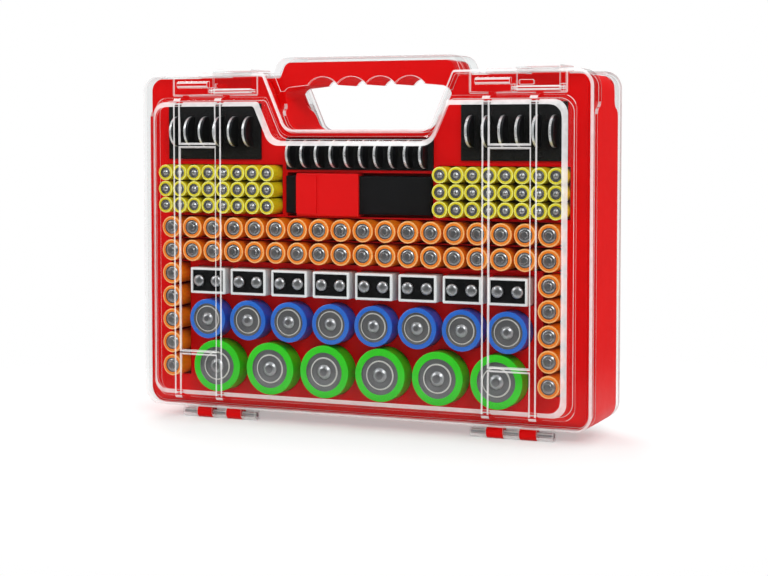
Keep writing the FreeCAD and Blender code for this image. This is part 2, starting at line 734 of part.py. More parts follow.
def make_front_tray():
    """Plate with a skirt, wells for upright cells, foam pockets, tester bay and four screw bosses."""
    body = new_body("front_tray")
    face = "Sizes.tray_face"
    extrude(body, "Pad", "front_plate", [body_outline(tray_inset)], face, "Sizes.tray_plate",
            backwards=True)
    skirt = [body_outline(tray_inset), body_outline(tray_inset + size["tray_wall"])]
    extrude(body, "Pad", "front_tray_skirt", skirt, face, "Sizes.tray_skirt", backwards=True)
    add_flange(body)
    wall = size["tray_wall"]
    play = size["well_play"]

    def block(name, loops, depth):
        extrude(body, "Pad", name, loops, face, f"{face} + ({depth}) + Sizes.well_floor", backwards=True)

    def wells(name, loops, depth):
        extrude(body, "Pocket", name, loops, f"{face} + {OVERLAP}", f"{face} + {OVERLAP} + ({depth})")

    aa_well = well(size["aa_diameter"])
    rows = [size["aa_row_height"], size["aa_row_height"] - size["aa_pitch"]]
    row_width = 17 * size["aa_pitch"] + aa_well
    column_top = rows[1] - size["aa_pitch"] + aa_well / 2
    column_bottom = rows[0] - 6 * size["aa_pitch"] - aa_well / 2
    column_place = 8.5 * size["aa_pitch"]
    aa_depth = "Sizes.aa_length - Sizes.cell_top_depth"
    aa_block = box_around((0, sum(rows) / 2), row_width + 2 * wall, rows[0] - rows[1] + aa_well + 2 * wall)
    columns = [rectangle(x - aa_well / 2, x + aa_well / 2, column_bottom, column_top)
               for x in (-column_place, column_place)]
    column_blocks = [rectangle(x - aa_well / 2 - wall, x + aa_well / 2 + wall, column_bottom - wall,
                               column_top + wall) for x in (-column_place, column_place)]
    aaa_well = well(size["aaa_diameter"])
    aaa_box = (size["aaa_inner_place"] - aaa_well / 2,
               size["aaa_inner_place"] + 7 * size["aaa_pitch"] + aaa_well / 2,
               size["aaa_row_height"] - aaa_well / 2,
               size["aaa_row_height"] + 2 * size["aaa_pitch"] + aaa_well / 2)
    aaa_block = (aaa_box[0] - wall, aaa_box[1] + wall, aaa_box[2] - wall, aaa_box[3] + wall)
    block("aa_block", [aa_block], aa_depth)
    block("aa_columns", column_blocks, aa_depth)
    block("aaa_blocks", mirrored_boxes(*aaa_block), "Sizes.aaa_length - Sizes.cell_top_depth")
    block("c_block", [circle(place, size["c_diameter"] / 2 + play + size["well_floor"])
                      for place in c_places()], "Sizes.c_length - Sizes.cell_top_depth")
    block("d_block", [circle(place, size["d_diameter"] / 2 + play + size["well_floor"])
                      for place in d_places()], "Sizes.d_length - Sizes.cell_top_depth")
    block_depth = "Sizes.block_length - Sizes.cell_top_depth + Sizes.terminal_rise"
    block("nine_volt_block", [box_around((0, size["block_row_height"]),
                                         7 * size["wide_pitch"] + size["block_width"] + 2 * (play + wall),
                                         size["block_height"] + 2 * (play + wall))], block_depth)
    foam_depth = "Sizes.foam_thickness - Sizes.foam_face"
    block("side_foam_blocks", mirrored_boxes(*side_foam_box(play + wall)), foam_depth)
    block("middle_foam_block", [middle_pocket(play + wall)], foam_depth)
    tester_depth = "Sizes.tester_thickness - Sizes.tester_face"
    block("tester_block", [tester_bay(size["well_floor"])], tester_depth)
    block("screw_bosses", [circle(place, size["boss_radius"]) for place in screw_places()],
          "Sizes.rear_tray_face - Sizes.rear_tray_thickness - Sizes.tray_play - Sizes.well_floor")
    wells("aa_wells", [box_around((0, z), row_width, aa_well) for z in rows] + columns, aa_depth)
    wells("aaa_wells", mirrored_boxes(*aaa_box), "Sizes.aaa_length - Sizes.cell_top_depth")
    wells("nine_volt_wells", [box_around(place, size["block_width"] + 2 * play,
                                         size["block_height"] + 2 * play, play)
                              for place in block_places()], block_depth)
    wells("c_wells", [circle(place, well(size["c_diameter"]) / 2) for place in c_places()],
          "Sizes.c_length - Sizes.cell_top_depth")
    wells("d_wells", [circle(place, well(size["d_diameter"]) / 2) for place in d_places()],
          "Sizes.d_length - Sizes.cell_top_depth")
    wells("side_foam_pockets", mirrored_boxes(*side_foam_box(play)), foam_depth)
    wells("middle_foam_pocket", [middle_pocket(play)], foam_depth)
    wells("tester_bay", [tester_bay()], tester_depth)
    bores = [circle(place, size["screw_radius"] + size["screw_play"]) for place in screw_places()]
    extrude(body, "Pocket", "front_screw_bores", bores, "0", "2 * Sizes.tray_face")
    return body


def rear_cells():
    """Lying cells: node, diameter, length, places across as seen from the rear, heights of the rows."""
    def rows(name, count, pitch="pitch"):
        step = size[f"{name}_{pitch}"] if count > 1 else 0
        return [size[name + "_row"] + number * step for number in range(count)]

    across_aa = spread(5, size["rear_aa_pitch"])
    aa_rows = rows("rear_aa", 3, "row_pitch")
    across_slim = spread(6, size["rear_aaa_pitch"])
    long_place = size["rear_long_place"]
    photo_place = size["rear_photo_place"]
    aa_cell = ("rear_aa_cells", size["aa_diameter"], size["aa_length"])
    photo_rows = rows("rear_photo", 2)
    return [
        ("rear_long_cells", size["rear_long_diameter"], size["rear_long_length"],
         [-long_place, long_place], rows("rear_long", 3)),
        ("rear_photo_cells", size["rear_photo_diameter"], size["rear_photo_length"],
         [-photo_place, photo_place], photo_rows),
        ("rear_photo_cells", size["rear_photo_diameter"], size["rear_twin_length"], [0], photo_rows),
        ("rear_camera_cells", size["rear_camera_diameter"], size["rear_camera_length"],
         spread(4, size["rear_camera_pitch"]), rows("rear_camera", 1)),
        ("rear_short_cells", size["rear_short_diameter"], size["rear_short_length"],
         spread(9, size["rear_short_pitch"]), rows("rear_short", 1)),
        aa_cell + (across_aa[:1] + across_aa[-1:], aa_rows),
        aa_cell + (across_aa[1:-1], aa_rows[1:]),
        ("rear_remote_cells", size["rear_remote_diameter"], size["rear_remote_length"],
         spread(4, size["rear_remote_pitch"]), rows("rear_remote", 1)),
        ("rear_aaa_cells", size["aaa_diameter"], size["aaa_length"], across_slim,
         rows("rear_aaa", 2, "row_pitch")),
        ("rear_slim_cells", size["rear_slim_diameter"], size["rear_slim_length"], across_slim,
         rows("rear_slim", 2, "row_pitch")),
    ]


def rear_foam_box(play=0.0):
    return (size["side_foam_inner"] - play, size["side_foam_outer"] + play,
            size["rear_foam_bottom"] - play, size["rear_foam_top"] + play)


def make_rear_tray():
    """Slab with one trough for every stack of lying cells, two foam pockets and four screw holes."""
    body = new_body("rear_tray", True)
    face = "Sizes.rear_tray_face"
    extrude(body, "Pad", "rear_slab", [body_outline(tray_inset)],
            f"{face} - Sizes.rear_tray_thickness", "Sizes.rear_tray_thickness")
    add_flange(body)
    play = size["well_play"]
    troughs = []
    for _, diameter, length, across, heights in rear_cells():
        tall = heights[-1] - heights[0] + diameter + 2 * play
        middle = (heights[0] + heights[-1]) / 2
        troughs += [box_around((place, middle), length + 2 * play, tall) for place in across]
    depth = f"Sizes.rear_tray_thickness - Sizes.trough_floor + {OVERLAP}"
    extrude(body, "Pocket", "rear_troughs", troughs, f"{face} + {OVERLAP}", depth)
    extrude(body, "Pocket", "rear_foam_pockets", mirrored_boxes(*rear_foam_box(play)),
            f"{face} + {OVERLAP}", depth)
    bore = size["screw_radius"] + size["screw_play"]
    extrude(body, "Pocket", "rear_screw_bores", [circle(place, bore) for place in screw_places()],
            f"{face} + {OVERLAP}", f"2 * {face}")
    head = size["screw_head_radius"] + size["screw_play"]
    extrude(body, "Pocket", "rear_screw_seats", [circle(place, head) for place in screw_places()],
            f"{face} + {OVERLAP}", f"Sizes.screw_head_height + {OVERLAP}")
    return body


# ---- foam blocks ----------------------------------------------------------------------------------------

def make_foam(label, outline, turned, face, thickness, coins, height, diameter, sunk):
    """Foam block with one slot for every coin cell; the face and the thickness are expressions."""
    body = new_body(label, turned)
    extrude(body, "Pad", label + "_block", [outline], face, thickness, backwards=True)
    gap = size["coin_play"]
    slots = [box_around((place, height), size["coin_thickness"] + 2 * gap, diameter + 2 * gap)
             for place in coins]
    extrude(body, "Pocket", label + "_slots", slots, f"{face} + {OVERLAP}", f"{sunk} + {OVERLAP + gap}")
    return body


def side_coin_places(count, pitch, side):
    middle = (size["side_foam_inner"] + size["side_foam_outer"]) / 2
    return spread(count, size[pitch], side * middle)


def make_foams():
    face = "Sizes.foam_face"
    depth = "Sizes.foam_thickness"
    left, right = mirrored_boxes(*side_foam_box())[::-1]
    height = (size["side_foam_bottom"] + size["side_foam_top"]) / 2
    middle_height = (size["middle_foam_bottom"] + size["middle_foam_top"]) / 2
    rear_left, rear_right = mirrored_boxes(*rear_foam_box())[::-1]
    rear_height = (size["rear_foam_bottom"] + size["rear_foam_top"]) / 2
    rear_face = "Sizes.rear_tray_face - Sizes.rear_tray_thickness + Sizes.trough_floor"
    rear_face += " + Sizes.rear_foam_thickness"
    foams = []
    for label, outline, side in (("left_foam", left, -1), ("right_foam", right, 1)):
        foams.append(make_foam(label, outline, False, face, depth, side_coin_places(6, "coin_side_pitch", side),
                               height, size["coin_diameter"], "0.5 * Sizes.coin_diameter"))
    foams.append(make_foam("middle_foam", middle_foam(), False, face, depth,
                           spread(10, size["coin_middle_pitch"]), middle_height,
                           size["middle_coin_diameter"], "0.5 * Sizes.middle_coin_diameter"))
    for label, outline, side in (("rear_left_foam", rear_left, -1), ("rear_right_foam", rear_right, 1)):
        foams.append(make_foam(label, outline, True, rear_face, "Sizes.rear_foam_thickness",
                               side_coin_places(7, "rear_coin_pitch", side), rear_height,
                               size["rear_coin_diameter"], "0.5 * Sizes.rear_coin_diameter"))
    return foams


# ---- cells ----------------------------------------------------------------------------------------------

def prism(sides, radius, base, direction, length):
    """Straight prism with a flat side towards each of the case's main directions."""
    along = FreeCAD.Vector(*direction)
    first = along.cross(FreeCAD.Vector(0, 0, 1))
    second = FreeCAD.Vector(0, 0, 1)
    corners = []
    for number in range(sides):
        angle = 2 * math.pi * (number + 0.5) / sides
        corners.append(FreeCAD.Vector(*base) + first * (radius * math.cos(angle))
                       + second * (radius * math.sin(angle)))
    outline = Part.makePolygon(corners + corners[:1])
    return Part.Face(outline).extrude(along * length)


def flats(diameter, sides):
    """Corner radius of a prism whose flat sides stand one diameter apart."""
    return diameter / 2 / math.cos(math.pi / sides)


def loose_parts(label, shapes, turned=False):
    """One node that holds many equal loose pieces as separate solids."""
    node = doc.addObject("Part::Feature", label)
    node.Label = label
    node.Shape = Part.makeCompound(shapes)
    if turned:
        node.Placement = FreeCAD.Placement(FreeCAD.Vector(), FreeCAD.Rotation(FreeCAD.Vector(0, 0, 1), 180))
    return node


def copies(shape, places):
    return [shape.translated(FreeCAD.Vector(x, 0, z)) for x, z in places]


def upright_cell(corner_radius, sides, length, nub_radius):
    """A cell that stands in its well with the contact nub towards the front."""
    top = -size["cell_top_depth"]
    rise = size["nub_rise"] if nub_radius else 0
    can = prism(sides, corner_radius, (0, top + rise, 0), (0, 1, 0), length - rise)
    if nub_radius:
        nub = prism(8, nub_radius, (0, top, 0), (0, 1, 0), rise + OVERLAP)
        can = can.fuse(nub).removeSplitter()
    return can


def block_cell():
    """A nine-volt cell with its two terminals."""
    top = -size["cell_top_depth"]
    deck = top + size["terminal_rise"]
    width = size["block_width"]
    height = size["block_height"]
    cell = Part.makeBox(width, size["block_length"] - size["terminal_rise"], height,
                        FreeCAD.Vector(-width / 2, deck, -height / 2))
    for place in (-size["terminal_place"], size["terminal_place"]):
        stud = prism(8, size["terminal_radius"], (place, top, 0), (0, 1, 0), size["terminal_rise"] + OVERLAP)
        cell = cell.fuse(stud)
    return cell.removeSplitter()


def coin_discs(places, height, face, diameter):
    """Coin cells on edge, sunk to their middle in the face of a foam block."""
    thickness = size["coin_thickness"]
    disc = prism(12, diameter / 2, (-thickness / 2, -face, height), (1, 0, 0), thickness)
    return [disc.translated(FreeCAD.Vector(place, 0, 0)) for place in places]


def make_cells():
    aa = upright_cell(flats(size["aa_diameter"], 8), 8, size["aa_length"], 0.2 * size["aa_diameter"])
    aaa = upright_cell(flats(size["aaa_diameter"], 8), 8, size["aaa_length"], 0)
    c_cell = upright_cell(size["c_diameter"] / 2, 12, size["c_length"], 0.13 * size["c_diameter"])
    d_cell = upright_cell(size["d_diameter"] / 2, 12, size["d_length"], 0.14 * size["d_diameter"])
    nodes = [loose_parts("aa_cells", copies(aa, aa_places())),
             loose_parts("aaa_cells", copies(aaa, aaa_places())),
             loose_parts("c_cells", copies(c_cell, c_places())),
             loose_parts("d_cells", copies(d_cell, d_places())),
             loose_parts("nine_volt_cells", copies(block_cell(), block_places()))]
    height = (size["side_foam_bottom"] + size["side_foam_top"]) / 2
    side_coins = [place for side in (-1, 1) for place in side_coin_places(6, "coin_side_pitch", side)]
    nodes.append(loose_parts("side_coin_cells",
                             coin_discs(side_coins, height, size["foam_face"], size["coin_diameter"])))
    middle_height = (size["middle_foam_bottom"] + size["middle_foam_top"]) / 2
    middle_coins = spread(10, size["coin_middle_pitch"])
    nodes.append(loose_parts("middle_coin_cells", coin_discs(middle_coins, middle_height, size["foam_face"],
                                                             size["middle_coin_diameter"])))
    rear_height = (size["rear_foam_bottom"] + size["rear_foam_top"]) / 2
    rear_coins = [place for side in (-1, 1) for place in side_coin_places(7, "rear_coin_pitch", side)]
    nodes.append(loose_parts("rear_coin_cells",
                             coin_discs(rear_coins, rear_height, trough_face + size["rear_foam_thickness"],
                                        size["rear_coin_diameter"]), True))
    lying = {}
    for label, diameter, length, across, heights in rear_cells():
        axis = -(trough_face + diameter / 2)
        cell = prism(8, flats(diameter, 8), (-length / 2, axis, 0), (1, 0, 0), length)
        lying.setdefault(label, []).extend(copies(cell, [(x, z) for z in heights for x in across]))
    nodes += [loose_parts(label, shapes, True) for label, shapes in lying.items()]
    return nodes


# ---- cell tester ----------------------------------------------------------------------------------------

def tester_levels():
    """Levels of the tester: bottom and top of the housing, its face, and where the slider's skirts end."""
    bottom = size["tester_bottom"]
    top = bottom + size["tester_height"]
    face = -size["tester_face"]
    skirt_end = face + size["slider_skirt"]
    return bottom, top, face, skirt_end


def make_tester_housing():
    """Housing with a groove along its top and bottom for the lips of the slider."""
    body = new_body("tester_housing")
    bottom, top, face, skirt_end = tester_levels()
    back = face + size["tester_thickness"]
    gap = size["slider_play"]
    deep = size["slider_lip"]
    start = skirt_end - size["slider_lip_length"] - gap
    end = skirt_end + gap
    points = [(face, bottom), (start, bottom), (start, bottom + deep), (end, bottom + deep), (end, bottom),
              (back, bottom), (back, top), (end, top), (end, top - deep), (start, top - deep),
              (start, top), (face, top)]
    extrude(body, "Pad", "tester_body", [rounded(points, [0] * len(points))], "0", "Sizes.tester_width",
            plane="YZ_Plane", middle=True)
    return body


def make_tester_slider():
    """Saddle over the housing: plate, two skirts whose lips run in the grooves, and a raised grip."""
    body = new_body("tester_slider")
    bottom, top, face, skirt_end = tester_levels()
    gap = size["slider_play"]
    wall = size["slider_wall"]
    lip = size["slider_lip"] - gap
    front = face - gap - wall
    inside = face - gap
    lip_start = skirt_end - size["slider_lip_length"]
    low = bottom - gap
    high = top + gap
    points = [(front, low - wall), (skirt_end, low - wall), (skirt_end, low + lip), (lip_start, low + lip),
              (lip_start, low), (inside, low), (inside, high), (lip_start, high), (lip_start, high - lip),
              (skirt_end, high - lip), (skirt_end, high + wall), (front, high + wall)]
    middle = size["slider_width"] / 2 - size["slider_place"]
    extrude(body, "Pad", "slider_saddle", [rounded(points, [1.2] + [0] * 10 + [1.2])], f"{middle}",
            "Sizes.slider_width", plane="YZ_Plane", middle=True)
    grip_middle = size["slider_grip_width"] / 2 - size["slider_place"]
    grip = box_around((grip_middle, (bottom + top) / 2), size["slider_grip_width"],
                      size["tester_height"] + 2 * gap, 1.0)
    extrude(body, "Pad", "slider_grip", [grip], f"Sizes.tester_face + {gap + wall - OVERLAP}",
            f"Sizes.slider_grip_rise + {OVERLAP}")
    return body


# ---- pins and screws ------------------------------------------------------------------------------------

def make_hinge_pins():
    length = 5 * size["knuckle_length"] - size["knuckle_gap"]
    pins = []
    for side in (-1, 1):
        for depth in (-size["parting_depth"], size["parting_depth"]):
            start = FreeCAD.Vector(side * size["hinge_place"] - length / 2, depth, size["hinge_radius"])
            pins.append(Part.makeCylinder(size["pin_radius"], length, start, FreeCAD.Vector(1, 0, 0)))
    return loose_parts("hinge_pins", pins)


def make_case_screws():
    """Screws put in from the rear tray into the bosses of the front tray."""
    towards_front = FreeCAD.Vector(0, -1, 0)
    start = FreeCAD.Vector(0, size["rear_tray_face"], 0)
    head = Part.makeCylinder(size["screw_head_radius"], size["screw_head_height"], start, towards_front)
    shank = Part.makeCylinder(size["screw_radius"], size["screw_length"], start, towards_front)
    return loose_parts("case_screws", copies(head.fuse(shank), screw_places()))


# ---- build, check and write -----------------------------------------------------------------------------

nodes = [make_frame(), make_front_tray(), make_rear_tray(), make_cover("front_cover", False),
         make_cover("rear_cover", True), make_tester_housing(), make_tester_slider(), make_hinge_pins(),
         make_case_screws()]
nodes += make_foams()
nodes += make_cells()
for cover in ("front", "rear"):
    for side, place in latch_places():
        nodes.append(make_latch(f"{cover}_{side}_latch", place, cover == "rear"))
doc.recompute()

for item in doc.Objects:
    if "Invalid" in item.State or "Error" in item.State:
        raise RuntimeError(f"{item.Label} did not rebuild: {item.State}")
os.makedirs("parts", exist_ok=True)
for node in nodes:
    if node.Shape.isNull() or not node.Shape.isValid():
        raise RuntimeError(f"{node.Label} has no valid shape")
    node.Shape.exportStep(f"parts/{node.Label}.step")
    print(node.Label, len(node.Shape.Solids), round(node.Shape.Volume))
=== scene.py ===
import json
import math

import bpy
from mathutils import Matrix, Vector

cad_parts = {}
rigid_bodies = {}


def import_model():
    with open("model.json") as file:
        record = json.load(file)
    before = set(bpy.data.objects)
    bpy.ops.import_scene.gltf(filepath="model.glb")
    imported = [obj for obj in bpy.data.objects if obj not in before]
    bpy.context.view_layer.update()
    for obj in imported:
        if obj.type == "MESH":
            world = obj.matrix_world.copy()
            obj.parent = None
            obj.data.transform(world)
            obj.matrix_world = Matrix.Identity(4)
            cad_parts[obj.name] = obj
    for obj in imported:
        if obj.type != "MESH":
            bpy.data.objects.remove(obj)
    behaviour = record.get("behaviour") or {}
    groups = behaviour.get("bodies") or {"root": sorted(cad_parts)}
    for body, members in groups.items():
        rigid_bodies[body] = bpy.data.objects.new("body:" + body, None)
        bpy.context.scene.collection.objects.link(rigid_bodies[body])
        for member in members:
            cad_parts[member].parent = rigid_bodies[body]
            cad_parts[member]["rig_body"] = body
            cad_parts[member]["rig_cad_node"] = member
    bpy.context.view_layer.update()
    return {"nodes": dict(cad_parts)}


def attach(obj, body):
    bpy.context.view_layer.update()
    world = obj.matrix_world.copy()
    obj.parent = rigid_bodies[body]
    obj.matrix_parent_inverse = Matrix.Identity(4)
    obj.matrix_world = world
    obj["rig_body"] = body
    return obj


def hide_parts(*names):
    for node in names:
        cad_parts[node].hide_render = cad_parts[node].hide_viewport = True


# Looks of the double-sided carry case for household cells: clear moulded covers and latches over red trays,
# the cells that stand or lie in them, foam blocks with coin cells, the cell tester, hinge pins and screws.

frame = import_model()
nodes = frame["nodes"]
MM = 0.001    # the script's sizes are written in millimetres


# ---- colours and nodes ----------------------------------------------------------------------------------

def linear(code):
    """A colour written as sRGB hex, as linear red, green, blue and alpha."""
    parts = [int(code[at:at + 2], 16) / 255 for at in (0, 2, 4)]
    return tuple(c / 12.92 if c <= 0.04045 else ((c + 0.055) / 1.055) ** 2.4 for c in parts) + (1.0,)


def add_node(tree, kind, settings=None, links=None):
    """One shader node with its own settings, socket values and the sockets that feed it."""
    node = tree.nodes.new(kind)
    for key, value in (settings or {}).items():
        if key in node.inputs and not hasattr(node, key):
            node.inputs[key].default_value = value
        else:
            setattr(node, key, value)
    for key, source in (links or {}).items():
        tree.links.new(source, node.inputs[key])
    return node


def new_material(name):
    """An empty node material and its tree."""
    material = bpy.data.materials.new(name)
    material.use_nodes = True
    material.node_tree.nodes.clear()
    return material, material.node_tree


def place_in_mm(tree):
    """The piece's own coordinates in millimetres, so that pattern scales are real sizes."""
    place = add_node(tree, "ShaderNodeTexCoord")
    scaled = add_node(tree, "ShaderNodeVectorMath", {"operation": "SCALE"}, {0: place.outputs["Object"]})
    scaled.inputs["Scale"].default_value = 1 / MM
    return scaled.outputs[0]


def speckled(tree, place, size_mm, low, high, detail=3.0):
    """Soft noise with grains of one real size, mapped from low to high."""
    noise = add_node(tree, "ShaderNodeTexNoise", {"Scale": 1 / size_mm, "Detail": detail}, {"Vector": place})
    ranged = add_node(tree, "ShaderNodeMapRange", {"To Min": low, "To Max": high},
                      {"Value": noise.outputs["Fac"]})
    return noise.outputs["Fac"], ranged.outputs[0]


def shaded_colour(tree, fac, dark, light):
    """A colour that drifts between two hex values."""
    mix = add_node(tree, "ShaderNodeMix", {"data_type": "RGBA"}, {"Factor": fac})
    mix.inputs[6].default_value = linear(dark)
    mix.inputs[7].default_value = linear(light)
    return mix.outputs[2]


def mixed_shader(tree, share, first, second):
    return add_node(tree, "ShaderNodeMixShader", None,
                    {0: share, 1: first.outputs[0], 2: second.outputs[0]})


def finish_surface(tree, shader):
    add_node(tree, "ShaderNodeOutputMaterial", None, {"Surface": shader})


def moulded_plastic(name, dark, light, roughness, grain_mm, grain_depth, coat=0.0):
    """Opaque injection moulding: slight colour drift, a fine spark-eroded grain and mild flow marks."""
    material, tree = new_material(name)
    place = place_in_mm(tree)
    drift, _ = speckled(tree, place, 38.0, 0, 1, 2.0)
    _, rough = speckled(tree, place, 5.0, roughness - 0.05, roughness + 0.07)
    grain, _ = speckled(tree, place, grain_mm, 0, 1, 2.0)
    bump = add_node(tree, "ShaderNodeBump", {"Strength": 0.35, "Distance": grain_depth * MM},
                    {"Height": grain})
    shader = add_node(tree, "ShaderNodeBsdfPrincipled", {"IOR": 1.49, "Specular IOR Level": 0.1,
                                                        "Coat Weight": coat, "Coat Roughness": 0.12},
                      {"Base Color": shaded_colour(tree, drift, dark, light), "Roughness": rough,
                       "Normal": bump.outputs[0]})
    finish_surface(tree, shader.outputs[0])
    return material


CLEAR_TINT = "FAFBFB"    # what one surface of the clear plastic leaves of the light
WHITE = (1, 1, 1, 1)


def seen_edge_on(tree, straight, grazing):
    """Schlick's rule: gloss from straight-on to grazing, the same on both faces of a thin wall."""
    facing = add_node(tree, "ShaderNodeLayerWeight", {"Blend": 0.5})
    steep = add_node(tree, "ShaderNodeMath", {"operation": "POWER"}, {0: facing.outputs["Facing"]})
    steep.inputs[1].default_value = 5
    ranged = add_node(tree, "ShaderNodeMapRange", {"To Min": straight, "To Max": grazing},
                      {"Value": steep.outputs[0]})
    return ranged.outputs[0]


def clear_polystyrene():
    """Polished crystal polystyrene: thin walls let light through and mirror only where seen edge-on."""
    material, tree = new_material("crystal_polystyrene_polished")
    place = place_in_mm(tree)
    _, haze = speckled(tree, place, 24.0, 0.03, 0.09)
    ripple, _ = speckled(tree, place, 46.0, 0, 1, 1.0)
    bump = add_node(tree, "ShaderNodeBump", {"Strength": 0.05, "Distance": 0.05 * MM}, {"Height": ripple})
    through = add_node(tree, "ShaderNodeBsdfTransparent", {"Color": linear(CLEAR_TINT)})
    gloss = add_node(tree, "ShaderNodeBsdfAnisotropic", {"Color": WHITE},
                     {"Roughness": haze, "Normal": bump.outputs[0]})
    wall = mixed_shader(tree, seen_edge_on(tree, straight=0.01, grazing=0.4), through, gloss)
    finish_surface(tree, wall.outputs[0])
    return material


def painted_highlight_polystyrene():
    """Rounded edges of the same plastic, where the light gathered in the walls shows as a pale line, here a
    painted highlight: a pale colour mixed into the clear.
    """
    material, tree = new_material("crystal_polystyrene_edges_painted_highlight")
    place = place_in_mm(tree)
    _, share = speckled(tree, place, 3.5, 0.5, 0.72, 2.0)
    through = add_node(tree, "ShaderNodeBsdfTransparent", {"Color": linear(CLEAR_TINT)})
    painted_highlight_shader = add_node(tree, "ShaderNodeBsdfPrincipled", {"Base Color": linear("FBF9F9"), "Roughness": 0.16,
                                                      "IOR": 1.59})
    edge = mixed_shader(tree, share, through, painted_highlight_shader)
    finish_surface(tree, edge.outputs[0])
    return material


def foil_sleeve(name, dark, light):
    """Printed foil shrunk over a steel can: satin gloss, faint wrinkles and a slight colour drift."""
    material, tree = new_material(name)
    place = place_in_mm(tree)
    drift, _ = speckled(tree, place, 16.0, 0, 1, 2.0)
    _, rough = speckled(tree, place, 3.0, 0.26, 0.4)
    wrinkle, _ = speckled(tree, place, 2.2, 0, 1, 2.0)
    bump = add_node(tree, "ShaderNodeBump", {"Strength": 0.2, "Distance": 0.04 * MM}, {"Height": wrinkle})
    shader = add_node(tree, "ShaderNodeBsdfPrincipled", {"IOR": 1.5, "Coat Weight": 0.12,
                                                        "Coat Roughness": 0.15},
                      {"Base Color": shaded_colour(tree, drift, dark, light), "Roughness": rough,
                       "Normal": bump.outputs[0]})
    finish_surface(tree, shader.outputs[0])
    return material


def plated_steel(name, dark, light, roughness, metallic=0.85):
    """Nickel- or zinc-plated steel: soft reflections with tumbling marks too fine to count."""
    material, tree = new_material(name)
    place = place_in_mm(tree)
    drift, _ = speckled(tree, place, 7.0, 0, 1)
    _, rough = speckled(tree, place, 1.6, roughness - 0.07, roughness + 0.09)
    marks, _ = speckled(tree, place, 0.8, 0, 1)
    bump = add_node(tree, "ShaderNodeBump", {"Strength": 0.06, "Distance": 0.02 * MM}, {"Height": marks})
    shader = add_node(tree, "ShaderNodeBsdfPrincipled", {"Metallic": metallic},
                      {"Base Color": shaded_colour(tree, drift, dark, light), "Roughness": rough,
                       "Normal": bump.outputs[0]})
    finish_surface(tree, shader.outputs[0])
    return material


def polyethylene_foam():
    """Cut closed-cell foam: matt black with open pores about a millimetre wide."""
    material, tree = new_material("polyethylene_foam_cut")
    place = place_in_mm(tree)
    pores = add_node(tree, "ShaderNodeTexVoronoi", {"Scale": 1 / 1.1}, {"Vector": place})
    tone = add_node(tree, "ShaderNodeMapRange", {"From Max": 0.7}, {"Value": pores.outputs["Distance"]})
    bump = add_node(tree, "ShaderNodeBump", {"Strength": 0.6, "Distance": 0.3 * MM},
                    {"Height": pores.outputs["Distance"]})
    shader = add_node(tree, "ShaderNodeBsdfPrincipled", {"Roughness": 0.9, "IOR": 1.45},
                      {"Base Color": shaded_colour(tree, tone.outputs[0], "161618", "0A0A0B"),
                       "Normal": bump.outputs[0]})
    finish_surface(tree, shader.outputs[0])
    return material


red_moulding = moulded_plastic("polypropylene_red_moulded", "DC0508", "EC0A0B",
                               roughness=0.34, grain_mm=0.9, grain_depth=0.03)
red_gloss = moulded_plastic("abs_red_gloss_moulded", "DE080B", "EE1012",
                            roughness=0.24, grain_mm=1.2, grain_depth=0.005, coat=0.5)
black_moulding = moulded_plastic("abs_black_spark_eroded", "141415", "1D1D1F",
                                 roughness=0.46, grain_mm=0.7, grain_depth=0.05)
black_deck = moulded_plastic("phenolic_black_deck", "0E0E0F", "171718",
                             roughness=0.5, grain_mm=0.8, grain_depth=0.03)
clear_plastic = clear_polystyrene()
# pale colour painted on the clear pieces' edges as a highlight
clear_edges_painted_highlight = painted_highlight_polystyrene()
foam = polyethylene_foam()
can_steel = plated_steel("nickel_plated_can_steel", "868587", "9B9A9B", roughness=0.36)
# nub and rim steel are lighter copies of the can steel, painted highlights: nub steel on nub flanks, the AA
# and AAA shoulders and the 9V terminals, rim steel on the C and D raised rings and the lying cells' ends
nub_steel_painted_highlight = plated_steel("nickel_plated_nub_painted_highlight", "A6A6A8", "BEBEC0", roughness=0.33, metallic=0.95)
rim_steel_painted_highlight = plated_steel("nickel_plated_rim_painted_highlight", "DAD7D0", "EFECE6", roughness=0.3, metallic=0.4)
